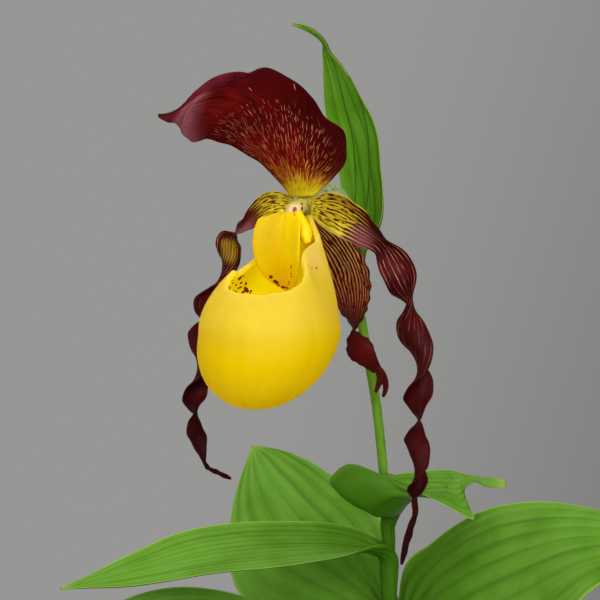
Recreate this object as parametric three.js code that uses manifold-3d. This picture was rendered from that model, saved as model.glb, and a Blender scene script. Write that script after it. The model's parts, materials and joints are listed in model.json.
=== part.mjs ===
// Large-flowered lady's slipper orchid (Cypripedium) in a round clay pot.
// Millimetres, +Z up. The origin is the centre of the pot's flat base, the
// flower looks roughly along -Y.

import * as THREE from 'three'
import { mergeVertices } from 'three/addons/utils/BufferGeometryUtils.js'
import Module from 'manifold-3d'

const wasm = await Module()
wasm.setup()

// ---------------------------------------------------------------- dimensions
const GAP = 0.3            // clearance between touching pieces
const BLADE = 0.7          // thickness of leaves, petals and sepals

const POT_HEIGHT = 104
const POT_FOOT = 42        // outer radius at the base
const POT_MOUTH = 58       // outer radius at the top
const POT_WALL = 3
const POT_FLOOR = 4
const POT_RIM = 12         // height of the thicker rim band
const DRAIN = 4            // radius of the drain holes
const DRAIN_RING = 25

const SOIL_TOP = 96
const SOIL_CHUNKS = 26
const RHIZOME_Z = 81
const RHIZOME_R = 4.5
const ROOT_R = 1.3

const LIP_AHEAD = 17.6     // centre of the pouch in front of the flower's middle
const LIP_DROP = 36        // widest level of the pouch below the flower's middle
const LIP_R = 20.8         // widest radius of the pouch
const LIP_DEPTH = 20.8     // from the widest level down to the bottom
const LIP_LEAN = 7.4       // how far the bottom lies forward
const LIP_WALL = 1.0
const FLOWER_AT = [-28.5, -28, 305]
const FLOWER_TURN = -33    // degrees about Z

// stem axis from the rhizome to the flower: x, y, z, radius
const STEM = [
  [0, 0, 86.4, 3.4], [0, 0, 100, 2.6], [0, 0, 120, 2.4], [0, 0, 140, 2.2],
  [0, 0, 174.5, 1.7], [-1, 0, 201.5, 1.4], [-2.5, 0, 219.5, 1.5],
  [-5, 0, 241, 1.5], [-9, 0, 263, 1.5], [-12.6, 0, 284.2, 1.5],
]

const RAD = Math.PI / 180

// -------------------------------------------------------------- curve helper
// Smooth path through rows of numbers: three of them, from column at on, are a
// place, the rest ride along. The result takes 0 at the first row, 1 at the
// second, and so on.
function trace(rows, at = 0) {
  const last = rows.length - 1
  const step = []
  for (let i = 0; i < last; i++) {
    step.push(Math.hypot(rows[i + 1][at] - rows[i][at],
      rows[i + 1][at + 1] - rows[i][at + 1], rows[i + 1][at + 2] - rows[i][at + 2]))
  }
  const rise = (i, c) => (rows[i + 1][c] - rows[i][c]) / step[i]
  const slope = rows.map((row, i) => row.map((_, c) => {
    if (last === 1) return rise(0, c)
    const inner = (k) => (step[k - 1] * rise(k, c) + step[k] * rise(k - 1, c)) /
      (step[k - 1] + step[k])
    if (i === 0) return 2 * rise(0, c) - inner(1)
    if (i === last) return 2 * rise(last - 1, c) - inner(last - 1)
    return inner(i)
  }))
  return (u) => {
    const i = Math.min(Math.max(Math.floor(u), 0), last - 1)
    const f = Math.min(Math.max(u - i, 0), 1)
    const h = step[i]
    const a = 1 + f * f * (2 * f - 3)
    const b = f * (1 - f) * (1 - f)
    const d = f * f * (f - 1)
    return rows[i].map((v, c) => a * v + (1 - a) * rows[i + 1][c] +
      h * (b * slope[i][c] + d * slope[i + 1][c]))
  }
}

const place = (q) => new THREE.Vector3(q[0], q[1], q[2])

function heading(path, u, last) {
  const a = place(path(Math.max(u - 0.02, 0)))
  const b = place(path(Math.min(u + 0.02, last)))
  return b.sub(a).normalize()
}

// ------------------------------------------------------------- mesh builders
function geometryOf(points, faces) {
  const at = (i) => points[i]
  let volume = 0
  for (const [a, b, c] of faces) {
    volume += at(a).dot(new THREE.Vector3().crossVectors(at(b), at(c)))
  }
  const index = []
  for (const [a, b, c] of faces) index.push(...(volume < 0 ? [a, c, b] : [a, b, c]))
  const geometry = new THREE.BufferGeometry()
  geometry.setAttribute('position', new THREE.Float32BufferAttribute(
    points.flatMap((p) => [p.x, p.y, p.z]), 3))
  geometry.setIndex(index)
  geometry.computeVertexNormals()
  return geometry
}

// Closed skin over rings of points. A ring of one point is a pole. With folded
// set, each ring is a thin section whose second half lies under its first, and
// both faces are split into the same triangles.
function skin(rings, folded) {
  const points = rings.flat()
  const start = []
  let count = 0
  for (const ring of rings) {
    start.push(count)
    count += ring.length
  }
  const faces = []
  const n = Math.max(...rings.map((ring) => ring.length))
  for (let k = 0; k + 1 < rings.length; k++) {
    const low = rings[k].length
    const high = rings[k + 1].length
    for (let j = 0; j < n; j++) {
      const i = (j + 1) % n
      const a = start[k] + (low > 1 ? j : 0)
      const b = start[k] + (low > 1 ? i : 0)
      const c = start[k + 1] + (high > 1 ? i : 0)
      const d = start[k + 1] + (high > 1 ? j : 0)
      if (low === 1) faces.push([a, c, d])
      else if (high === 1) faces.push([a, b, c])
      else if (folded && j >= n / 2) faces.push([a, b, d], [b, c, d])
      else faces.push([a, b, c], [a, c, d])
    }
  }
  for (const [k, flip] of [[0, true], [rings.length - 1, false]]) {
    if (rings[k].length === 1) continue
    const s = start[k]
    const cap = []
    if (folded) {
      for (let j = 0; j + 1 < n / 2; j++) {
        cap.push([s + j, s + j + 1, s + n - 2 - j], [s + j, s + n - 2 - j, s + n - 1 - j])
      }
    } else {
      for (let j = 1; j + 1 < n; j++) cap.push([s, s + j, s + j + 1])
    }
    for (const [a, b, c] of cap) faces.push(flip ? [a, c, b] : [a, b, c])
  }
  return geometryOf(points, faces)
}

// Round rod along rows of x, y, z, radius.
function rod(rows, sides, per) {
  const path = trace(rows)
  const last = rows.length - 1
  const rings = []
  let side = null
  for (let k = 0; k <= last * per; k++) {
    const u = k / per
    const q = path(u)
    const along = heading(path, u, last)
    if (!side) {
      side = Math.abs(along.x) < 0.8 ? new THREE.Vector3(1, 0, 0) : new THREE.Vector3(0, 0, 1)
    }
    side.addScaledVector(along, -side.dot(along)).normalize()
    const up = new THREE.Vector3().crossVectors(along, side)
    const ring = []
    for (let j = 0; j < sides; j++) {
      const t = 2 * Math.PI * j / sides
      ring.push(place(q).addScaledVector(side, q[3] * Math.cos(t))
        .addScaledVector(up, q[3] * Math.sin(t)))
    }
    rings.push(ring)
  }
  return skin(rings, false)
}

// Leaf, petal or sepal: rows of x, y, z, half width, cup and turn. The cup is
// half the angle that the section bends through toward its face, the turn
// twists the section about the midrib.
function blade(rows, face, options) {
  const { across = 7, per = 2, thick = BLADE, ribs = 0, pleat = 0, wave = 0, waves = 4,
    crease = 0, faceEnd = face, phase = 0 } = options
  const path = trace(rows)
  const last = rows.length - 1
  const rings = []
  for (let k = 0; k <= last * per; k++) {
    const u = k / per
    const f = u / last
    const [, , , width, cup, turn] = path(u)
    const along = heading(path, u, last)
    const look = new THREE.Vector3(...face).lerp(new THREE.Vector3(...faceEnd), f)
    const base = look.addScaledVector(along, -look.dot(along)).normalize()
    const cross = new THREE.Vector3().crossVectors(along, base)
    const normal = base.clone().multiplyScalar(Math.cos(turn * RAD))
      .addScaledVector(cross, Math.sin(turn * RAD))
    const side = new THREE.Vector3().crossVectors(along, normal)
    const bend = cup * RAD
    const half = Math.max(width, 0.35)
    const fade = Math.min(1, 6 * f, 5 * (1 - f))
    const over = []
    const under = []
    for (let j = 0; j < across; j++) {
      const v = 2 * j / (across - 1) - 1
      const t = v * bend
      const x = Math.abs(bend) < 0.01 ? half * v : half * Math.sin(t) / bend
      const y = Math.abs(bend) < 0.01 ? 0 : half * (1 - Math.cos(t)) / bend
      const out = normal.clone().multiplyScalar(Math.cos(t)).addScaledVector(side, -Math.sin(t))
      const lift = fade * (0.5 * pleat * Math.cos(Math.PI * ribs * (v + 1)) +
        wave * v * v * Math.sin(2 * Math.PI * waves * f + phase + (v < 0 ? 1.7 : 0))) -
        crease * fade * Math.exp(-((v / 0.22) ** 2))
      const p = place(path(u)).addScaledVector(side, x).addScaledVector(normal, y)
        .addScaledVector(out, lift)
      over.push(p.clone().addScaledVector(out, thick / 2))
      under.unshift(p.clone().addScaledVector(out, -thick / 2))
    }
    rings.push([...over, ...under])
  }
  return skin(rings, true)
}

// Leaf or sepal drawn through guide lines: each row holds five places across
// it, from one margin over the midrib to the other.
function sheet(rows, options) {
  const { across = 9, per = 2, thick = BLADE, ribs = 0, pleat = 0, wave = 0, waves = 4 } = options
  const path = trace(rows.map((row) => row.flat()), 6)
  const last = rows.length - 1
  const at = (u, v) => {
    const q = path(u)
    const line = trace([0, 3, 6, 9, 12].map((i) => [q[i], q[i + 1], q[i + 2]]))
    return place(line(2 * (v + 1)))
  }
  const rings = []
  for (let k = 0; k <= last * per; k++) {
    const u = k / per
    const f = u / last
    const fade = Math.min(1, 6 * f, 5 * (1 - f))
    const over = []
    const under = []
    for (let j = 0; j < across; j++) {
      const v = 2 * j / (across - 1) - 1
      const along = at(Math.min(u + 0.03, last), v).sub(at(Math.max(u - 0.03, 0), v))
      const side = at(u, Math.min(v + 0.03, 1)).sub(at(u, Math.max(v - 0.03, -1)))
      const out = side.cross(along).normalize()
      const lift = fade * (0.5 * pleat * Math.cos(Math.PI * ribs * (v + 1)) +
        wave * v * v * Math.sin(2 * Math.PI * waves * f + (v < 0 ? 1.7 : 0)))
      const p = at(u, v).addScaledVector(out, lift)
      over.push(p.clone().addScaledVector(out, thick / 2))
      under.unshift(p.clone().addScaledVector(out, -thick / 2))
    }
    rings.push([...over, ...under])
  }
  return skin(rings, true)
}

// Five places from three: both margins and the midrib.
function five([a, b, c]) {
  const mix = (v) => b.map((m, i) => m + v * (c[i] - a[i]) / 2 + v * v * ((c[i] + a[i]) / 2 - m))
  return [a, mix(-0.5), b, mix(0.5), c]
}

// ---------------------------------------------------------- solids to cut with
function toSolid(geometry) {
  const plain = geometry.clone()
  plain.deleteAttribute('normal')
  plain.deleteAttribute('uv')
  const welded = mergeVertices(plain, 1e-4)
  return new wasm.Manifold(new wasm.Mesh({
    numProp: 3,
    vertProperties: new Float32Array(welded.attributes.position.array),
    triVerts: new Uint32Array(welded.index.array),
  }))
}

function toGeometry(solid) {
  const mesh = solid.getMesh()
  const geometry = new THREE.BufferGeometry()
  geometry.setAttribute('position', new THREE.Float32BufferAttribute(mesh.vertProperties, 3))
  geometry.setIndex(Array.from(mesh.triVerts))
  geometry.computeVertexNormals()
  return geometry
}

let seed = 7
function random() {
  seed = (seed * 16807) % 2147483647
  return seed / 2147483647
}

// --------------------------------------------------------------------- group
const group = new THREE.Group()

function add(parent, name, geometry, color, roughness) {
  const mesh = new THREE.Mesh(geometry, new THREE.MeshStandardMaterial({
    color, roughness, metalness: 0,
  }))
  mesh.name = name
  parent.add(mesh)
}

// ----------------------------------------------------------------------- pot
// Flared clay pot with a thicker band at the mouth, a flat base and five drain
// holes round the middle.
function potRadius(z) {
  return POT_FOOT + (POT_MOUTH - 3 - POT_FOOT) * z / POT_HEIGHT
}

{
  const band = POT_HEIGHT - POT_RIM
  const profile = [
    [0, 0], [POT_FOOT - 1.5, 0], [POT_FOOT, 1.5], [potRadius(band - 2), band - 2],
    [potRadius(band) + 2.2, band], [POT_MOUTH - 0.4, POT_HEIGHT - 2],
    [POT_MOUTH - 1.8, POT_HEIGHT], [POT_MOUTH - 4.4, POT_HEIGHT],
    [POT_MOUTH - 5.6, POT_HEIGHT - 1.5],
    [potRadius(POT_FLOOR) - POT_WALL, POT_FLOOR], [0, POT_FLOOR],
  ].map(([r, z]) => new THREE.Vector2(r, z))
  const lathe = new THREE.LatheGeometry(profile, 36)
  lathe.rotateX(Math.PI / 2)
  let pot = toSolid(lathe)
  for (let i = 0; i < 5; i++) {
    const hole = new THREE.CylinderGeometry(DRAIN, DRAIN, 20, 10)
    hole.rotateX(Math.PI / 2)
    hole.translate(DRAIN_RING * Math.cos(2 * Math.PI * i / 5),
      DRAIN_RING * Math.sin(2 * Math.PI * i / 5), 0)
    pot = pot.subtract(toSolid(hole))
  }
  add(group, 'pot', toGeometry(pot), 0xa86a4a, 0.85)
}

// ------------------------------------------------- rhizome and roots, in soil
// A short creeping rhizome under the stem with cord-like roots that run out
// and down. The same rods, grown by the clearance, cut their bed in the soil.
function underground(grow) {
  let solid = toSolid(rod([
    [-17, 2, RHIZOME_Z - 1, 3.4 + grow], [-8, 1, RHIZOME_Z, RHIZOME_R + grow],
    [2, 0, RHIZOME_Z, RHIZOME_R + grow], [11, -2, RHIZOME_Z - 0.5, RHIZOME_R - 0.5 + grow],
    [16, -3, RHIZOME_Z, 2.6 + grow],
  ], 8, 2))
  const roots = [
    [-12, 1, 200, 26, 46], [-7, 1, 128, 28, 36], [-2, 0.5, 262, 27, 30],
    [4, 0, 84, 30, 42], [9, -1, 320, 26, 34],
  ]
  for (const [x, y, azimuth, reach, floor] of roots) {
    const c = Math.cos(azimuth * RAD)
    const s = Math.sin(azimuth * RAD)
    solid = solid.add(toSolid(rod([
      [x, y, RHIZOME_Z - 1, ROOT_R + grow],
      [x + 0.34 * reach * c, y + 0.34 * reach * s, RHIZOME_Z - 8, ROOT_R + grow],
      [x + 0.75 * reach * c, y + 0.75 * reach * s, 0.5 * (RHIZOME_Z + floor), ROOT_R + grow],
      [x + reach * c, y + reach * s, floor - grow, 0.8 * ROOT_R + grow],
    ], 5, 2)))
  }
  return solid
}

add(group, 'rhizome', toGeometry(underground(0)), 0x8a6a48, 0.9)

// ---------------------------------------------------------------------- soil
// Bark compost: a block that fills the pot, with a gently uneven top and
// chunks that stand half out of it, and a plain hole for the stem.
{
  const wall = (z) => potRadius(z) - POT_WALL - GAP - 0.5
  const profile = [
    [0, POT_FLOOR + GAP], [wall(POT_FLOOR) - 0.5, POT_FLOOR + GAP],
    [wall(SOIL_TOP - 8) - 0.6, SOIL_TOP - 2.5],
    [42, SOIL_TOP - 0.4], [30, SOIL_TOP], [18, SOIL_TOP], [8, SOIL_TOP + 0.6],
    [0, SOIL_TOP + 0.6],
  ].map(([r, z]) => new THREE.Vector2(r, z))
  const lathe = new THREE.LatheGeometry(profile, 24)
  lathe.rotateX(Math.PI / 2)
  lathe.deleteAttribute('normal')
  lathe.deleteAttribute('uv')
  const block = mergeVertices(lathe, 1e-4)
  const spots = block.attributes.position
  for (let i = 0; i < spots.count; i++) {
    if (spots.getZ(i) < SOIL_TOP - 2) continue
    const x = spots.getX(i)
    const y = spots.getY(i)
    const bump = 0.9 * Math.sin(0.31 * x + 1) * Math.cos(0.27 * y) + 0.5 * Math.sin(0.7 * x - 0.5 * y)
    spots.setZ(i, spots.getZ(i) + bump)
  }
  let soil = toSolid(block)
  for (let i = 0; i < SOIL_CHUNKS; i++) {
    const turn = 2.39996 * i
    const reach = 9 + 35 * Math.sqrt((i + 0.5) / SOIL_CHUNKS)
    const size = 3.6 + 2.8 * random()
    const chunk = new THREE.IcosahedronGeometry(1, 0)
    chunk.scale(size, 0.72 * size, 0.5 * size)
    chunk.rotateX(0.5 * (random() - 0.5))
    chunk.rotateY(0.5 * (random() - 0.5))
    chunk.rotateZ(6.3 * random())
    chunk.translate(reach * Math.cos(turn), reach * Math.sin(turn), SOIL_TOP + 0.5 * (random() - 0.4))
    soil = soil.add(toSolid(chunk))
  }
  soil = soil.subtract(underground(GAP))
  const hole = new THREE.CylinderGeometry(3.6, 4.1, 30, 12)
  hole.rotateX(Math.PI / 2)
  hole.translate(0, 0, RHIZOME_Z + 17)
  soil = soil.subtract(toSolid(hole))
  add(group, 'soil', toGeometry(soil), 0x3b2a1d, 0.98)
}

// ---------------------------------------------------------------------- stem
const stemPath = trace(STEM)
add(group, 'stem', rod(STEM, 10, 2), 0x7fa653, 0.6)

function stemAt(z) {
  let low = 0
  let high = STEM.length - 1
  for (let i = 0; i < 40; i++) {
    const middle = (low + high) / 2
    if (stemPath(middle)[2] < z) low = middle
    else high = middle
  }
  return stemPath(low)
}

// -------------------------------------------------------------------- leaves
// A leaf base is a sheath round the stem, given as its three lower heights and
// the direction of its midrib.
const SHEATH = 146 * RAD

function clasp(from, to, azimuth) {
  const c = Math.cos(azimuth * RAD)
  const s = Math.sin(azimuth * RAD)
  return [0, 0.5, 1].map((f) => {
    const z = from + (to - from) * f
    const [x, y, , r] = stemAt(z)
    return { c, s, x, y, z, reach: r + GAP + BLADE / 2 + 0.1 + 0.15 * f }
  })
}

// Sheath rows for blade: place, half width, cup and turn.
const sheathRows = (from, to, azimuth) => clasp(from, to, azimuth).map(
  ({ c, s, x, y, z, reach }) => [x + reach * c, y + reach * s, z, SHEATH * reach, 146, 0])

// Sheath rows for sheet: five places round the stem, then one row that opens.
function sheathGuides(from, to, azimuth, open) {
  const across = [-1, -0.5, 0, 0.5, 1]
  const rows = clasp(from, to, azimuth).map(({ c, s, x, y, z, reach }) => across.map((v) => {
    const t = v * SHEATH
    return [x + reach * (c * Math.cos(t) + s * Math.sin(t)),
      y + reach * (s * Math.cos(t) - c * Math.sin(t)), z]
  }))
  const { c, s } = clasp(from, to, azimuth)[0]
  const [reach, z, half, cup, tilt] = open
  const bend = cup * RAD
  const radius = half / bend
  rows.push(across.map((v) => {
    const side = radius * Math.sin(v * bend)
    const up = radius * (1 - Math.cos(v * bend))
    const back = reach - up * Math.cos(tilt * RAD)
    return [back * c + side * s, back * s - side * c, z + up * Math.sin(tilt * RAD)]
  }))
  return rows
}

// Rows given as reach from the stem, height, half width, cup and turn.
function outward(azimuth, rows) {
  const c = Math.cos(azimuth * RAD)
  const s = Math.sin(azimuth * RAD)
  return rows.map(([reach, z, ...rest]) => [reach * c, reach * s, z, ...rest])
}

const leafFace = (azimuth) => [-0.3 * Math.cos(azimuth * RAD), -0.3 * Math.sin(azimuth * RAD), 1]

// Two short sheaths at the foot and two plain leaves to the left.
const PLAIN_LEAVES = {
  basal_sheath_1: { azimuth: 20, from: 99.6, to: 106, color: 0x8fae62, rows: [
    [4, 110, 5.2, 90, 0], [5.2, 113.5, 1.2, 30, 0]] },
  basal_sheath_2: { azimuth: 230, from: 115.5, to: 121, color: 0x86ab58, rows: [
    [3.8, 124.5, 5.4, 90, 0], [5.2, 127.6, 1.4, 30, 0]] },
  leaf_low_left: { azimuth: 214, from: 129.5, to: 136, color: 0x5c9a2e, rows: [
    [4.2, 142, 8.3, 110, 0], [9, 148.5, 11, 62, 0], [23, 159.5, 18.5, 34, -2],
    [50, 173.5, 23, 20, -8], [74.5, 179.5, 21, 16, -10], [98, 179.5, 14.5, 16, -10],
    [110, 177.5, 8.5, 18, -8], [119, 175, 0.9, 20, -6]] },
  leaf_left: { azimuth: 203.7, from: 174, to: 184, color: 0x69a936, rows: [
    [3.2, 188.5, 6.8, 120, 0], [7, 191.4, 8.4, 72, -4], [18, 194.2, 11.5, 34, -10],
    [33, 196, 13, 22, -14], [50, 197, 14.2, 16, -16], [66, 196.8, 13, 14, -16],
    [81, 195, 9.4, 14, -16], [94, 193.6, 5.8, 16, -14], [103, 192.8, 2.8, 20, -12],
    [109.5, 192.4, 0.7, 20, -12]] },
}

for (const [name, leaf] of Object.entries(PLAIN_LEAVES)) {
  const rows = [...sheathRows(leaf.from, leaf.to, leaf.azimuth), ...outward(leaf.azimuth, leaf.rows)]
  const small = leaf.rows.length < 4
  add(group, name, blade(rows, leafFace(leaf.azimuth), {
    across: 9, per: 2, ribs: 4, pleat: small ? 0 : 0.5, wave: small ? 0 : 0.5, waves: 3,
  }), leaf.color, 0.5)
}

// Three broad leaves drawn through their margins and midrib.
const DRAWN_LEAVES = {
  leaf_right: { azimuth: -39, from: 144.5, to: 149.5, open: [4, 154, 8, 108, 20],
    color: 0x67a634, rows: [
      [[5.3, 6, 182.5], [8, -8, 167], [5, -24, 161]],
      [[13.5, 0, 193.5], [14, -15, 180], [14, -35, 164]],
      [[21, -8, 202.5], [22, -24, 189.5], [25, -45, 168.5]],
      [[30, -17, 209.5], [31, -34, 198], [36, -54, 177]],
      [[41, -26, 213.5], [40.5, -44, 205], [46, -62, 188]],
      [[51.5, -36, 216], [50, -54, 210.5], [53, -67, 198.5]],
      [[60, -47, 217], [59, -62, 213], [60, -71, 205.5]],
      [[67.5, -58, 216], [66.5, -68, 213], [66.5, -73, 209]],
      [[74.7, -72.6, 211.9], [74.5, -73, 211.5], [74.3, -73.4, 211]],
    ] },
  leaf_back: { azimuth: 131, from: 158, to: 166, open: [3.8, 170, 7.4, 108, 20],
    color: 0x5f9f30, rows: [
      [[-12, -5, 167.5], [-5.5, 8, 174.5], [-0.5, 19, 180.5]],
      [[-21.5, 5, 165.5], [-10.5, 17, 178.5], [0, 33, 184.5]],
      [[-33, 15, 163], [-17, 25.5, 182.5], [-1, 46, 188.5]],
      [[-42.5, 24, 162.5], [-23, 35, 186], [-5, 57, 191.5]],
      [[-50, 33, 166.5], [-29.5, 44, 190], [-11.5, 65, 194.5]],
      [[-53.5, 41, 174], [-35, 52, 195], [-19.5, 70, 199]],
      [[-54, 49, 184], [-40, 58, 200.5], [-27.5, 70, 204.5]],
      [[-52, 56, 195.5], [-43.5, 62, 206], [-35.5, 68, 208.5]],
      [[-46.8, 63, 210.2], [-46.4, 63.4, 211], [-46, 63.8, 211.2]],
    ] },
}

for (const [name, leaf] of Object.entries(DRAWN_LEAVES)) {
  const rows = [...sheathGuides(leaf.from, leaf.to, leaf.azimuth, leaf.open), ...leaf.rows.map(five)]
  add(group, name, sheet(rows, { across: 9, per: 2, ribs: 4, pleat: 0.6, wave: 0.4, waves: 3 }),
    leaf.color, 0.5)
}

// The uppermost leaf: its near half folds round the stem, its far end twists
// down to one side and runs out in a narrow tail.
{
  const rows = [...sheathGuides(191, 199, -31, [2.8, 202.8, 7.6, 122, 15]),
    [[2.6, 3, 210.5], [4, 0, 208.5], [3.5, -5, 206], [-4, -8.8, 205], [-11.5, -6.5, 209]],
    [[1, -3.8, 214.2], [4.8, -4, 212], [5.8, -8, 210], [-4.5, -13.5, 209], [-20, -9.5, 216.5]],
    [[-10.5, -6, 218.2], [2, -5.5, 215.5], [8.5, -9, 213], [0, -17, 213], [-14, -11, 222.5]],
    [[-1, -4.5, 217.4], [8, -4.5, 216], [12.5, -10, 214.5], [6, -18, 214], [-4.5, -15, 220.5]],
    [[9, -2.5, 217.8], [14.5, -6, 216.5], [17, -12, 215], [11.5, -19, 214], [4, -20, 217]],
    [[16.5, -3, 218.7], [17.7, -8, 216.8], [17.5, -14, 215.2], [16.2, -20, 214], [14, -23, 213]],
    [[19, -5, 219], [19.4, -10, 217.3], [19.1, -15, 215.3], [18.8, -20, 213], [19.8, -24, 210.2]],
    [[20.7, -7, 218.8], [20.9, -10.5, 217.6], [20.9, -14.5, 215.7], [21.4, -19, 212.9], [24.6, -23, 207.9]],
    [[22.5, -9, 218.9], [22.5, -10.5, 217.8], [22.2, -13, 217.2], [22.1, -15, 216], [21.7, -17.5, 214.5]],
    [[25.5, -11, 218.7], [25.2, -12, 218.4], [24.9, -13, 218.1], [24.8, -14, 217.8], [24.7, -15, 217.5]],
    [[30, -12.5, 218.5], [29.9, -13.2, 217.8], [29.9, -13.8, 217.2], [29.8, -14.4, 216.6],
      [29.7, -15, 216.1]],
    [[35.3, -14, 218.4], [35.3, -14.4, 217.9], [35.4, -14.9, 217.4], [35.3, -15.4, 216.8],
      [35.2, -15.8, 216.3]],
  ]
  add(group, 'leaf_upper', sheet(rows, { across: 9, per: 2, ribs: 4, pleat: 0.3 }), 0x6bad38, 0.5)
}

// --------------------------------------------------------------------- bract
// Leafy bract: wraps the top of the stem and stands up behind the flower.
add(group, 'bract', blade([
  [-10.1, 2.2, 278, 6.6, 140, 0], [-10.4, 2.9, 284, 8, 130, 0], [-9.6, 4.3, 290, 8.8, 95, 0],
  [-7.6, 5.6, 298, 9.4, 54, 0], [-7.6, 7.2, 306, 9, 40, 0], [-8.8, 8.2, 314, 8.7, 28, 0],
  [-10.3, 8.5, 323.5, 9.2, 24, 0], [-13.5, 8, 333, 8.4, 24, 0], [-15.8, 6, 340, 6.6, 26, 0],
  [-18, 4, 345.5, 4.4, 30, 0], [-20.4, 1.8, 350.5, 1.9, 30, 0], [-21.5, -0.5, 353.5, 0.8, 20, 0],
  [-24.4, -3, 356.4, 0.9, 10, 0], [-27.5, -5, 358.1, 0.8, 10, 0], [-31.4, -7, 359.1, 0.5, 0, 0],
], [-0.6, -0.8, 0], { across: 9, per: 2, ribs: 4, pleat: 0.4 }), 0x67a637, 0.5)

// -------------------------------------------------------------------- flower
// The flower's own axes: X to its right as seen from the front, -Y forward.
const flower = new THREE.Group()
flower.position.set(...FLOWER_AT)
flower.rotation.z = FLOWER_TURN * RAD
group.add(flower)

// Curved inferior ovary that carries the flower on its flared end.
add(flower, 'ovary', rod([
  [-1.9, 32, -20.3, 1.7], [-2.3, 31.8, -15.5, 2.4], [-2, 29, -8, 3.2], [-1, 23, -1, 3.4],
  [0, 14.5, 2.8, 3.3], [0.3, 7.5, 1.4, 3.1], [0.3, 3.6, 0.5, 3], [0.3, 1.1, 0.4, 3.7],
], 12, 2), 0xaab98a, 0.7)

// Broad hooded sepal that leans forward over the flower.
add(flower, 'dorsal_sepal', sheet([
  [[-2.9, -1.9, 3], [0.4, -1.1, 3.1], [3.7, 0, 3.4]],
  [[-4, -3.5, 5.5], [0, -1.5, 5.7], [6, 3, 6]],
  [[-5, -7.5, 9], [-1, -4, 9.5], [8, 5.5, 9]],
  [[-6.5, -12, 13], [-1.5, -7, 14], [10, 8, 12.5]],
  [[-7.5, -18, 16], [-2, -12, 19.5], [10.5, 8.5, 17]],
  [[-8.5, -24.5, 19], [-2.5, -16.5, 24], [10.5, 6.5, 22.5]],
  [[-9, -29.5, 20], [-2.5, -21.5, 28.5], [7.2, 1, 26.5]],
  [[-9.5, -34, 21], [-4, -27, 31], [5.6, -3.5, 32.5]],
  [[-10.5, -37, 20.5], [-7, -32, 32.5], [3.8, -11, 37.6]],
  [[-11.5, -39.5, 20.5], [-9, -35.5, 32], [0.5, -20, 41]],
  [[-12, -41, 21.5], [-10, -37.5, 31.5], [-1.5, -23, 39.5]],
  [[-12.5, -42, 22.5], [-10.5, -39, 31], [-3.5, -27.5, 40]],
  [[-12.5, -42.5, 24], [-11.5, -40.5, 30], [-7.5, -33.5, 38.5]],
  [[-13, -44, 25.5], [-12, -42, 29], [-10.5, -38, 35]],
  [[-14.5, -46, 26], [-14, -45, 28], [-12.5, -42.5, 30]],
  [[-16, -48.5, 27.5], [-16, -48.5, 28], [-16, -48.5, 28.5]],
].map(five), { across: 11, per: 2, wave: 0.5, waves: 3 }), 0x3c0a10, 0.5)

// The two lower sepals, grown together, with two small free tips.
{
  const main = blade([
    [1, 1.9, -4.4, 2.4, 10, 0], [3.2, 6.5, -8.5, 6.6, 14, 0], [5.2, 12.5, -15.5, 9.2, 18, 0],
    [5.8, 17.5, -23.5, 9.2, 20, 0], [5.4, 20, -30.5, 7.2, 22, 8], [5, 21.5, -36.5, 5, 24, 30],
    [4.8, 22.5, -41.5, 4.2, 20, 80], [6, 24.5, -46, 4.4, 20, 140], [8, 26.5, -50, 2.8, 20, 165],
    [10, 28, -52.8, 1.7, 0, 180],
  ], [0, -1, 0.1], { across: 7, per: 3, wave: 0.4, waves: 3 })
  const tips = [
    [[9.6, 27.6, -51.6, 1.0, 0, 0], [10.4, 28.9, -55.5, 1.2, 0, 0], [9.6, 29, -58, 0.9, 0, 0],
      [9, 28.5, -60, 0.5, 0, 0]],
    [[9.9, 27.8, -51.6, 1.0, 0, 0], [11.6, 29.8, -56, 1.2, 0, 0], [11.6, 30.3, -59, 0.9, 0, 0],
      [10.8, 30, -61.5, 0.5, 0, 0]],
  ].map((rows) => toSolid(blade(rows, [0, -1, 0.1], { across: 3, per: 1 })))
  add(flower, 'synsepal', toGeometry(toSolid(main).add(tips[0]).add(tips[1])), 0x4a1510, 0.5)
}

// Long drooping petals, each a ribbon that twists like a corkscrew.
const twist = { across: 5, per: 3 }
add(flower, 'petal_right', blade([
  [3.2, 0, 0.2, 2.6, 8, 0], [7, 0.3, -0.3, 4.8, 14, 0], [15, -1, -2, 6, 20, 0],
  [21.5, 0, -5.5, 5.4, 30, 5], [27.5, 1, -9.5, 4.2, 50, 20], [32.5, 0.5, -16.5, 5.5, 45, -30],
  [37, 1.5, -26, 5, 46, 57], [37.5, 1.5, -34.5, 5.3, 48, 140], [39, 1.5, -45, 5.2, 62, 237],
  [39, 1.5, -52.5, 4.6, 40, 327], [39.5, 1.5, -60, 3.3, 14, 417], [39, 1.5, -67, 4, 44, 500],
  [38.5, 1.5, -75.5, 4.3, 75, 597], [39, 1.5, -80, 3.3, 60, 680], [39, 1.5, -84, 2.6, 75, 777],
  [39, 2, -88, 1.9, 60, 800], [37.5, 2, -92.5, 1.7, 50, 820], [36, 1.5, -97.5, 1.3, 40, 840],
  [34.5, 1, -104.5, 0.5, 0, 860],
], [0, -1, 0], twist), 0x42101a, 0.5)

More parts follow.
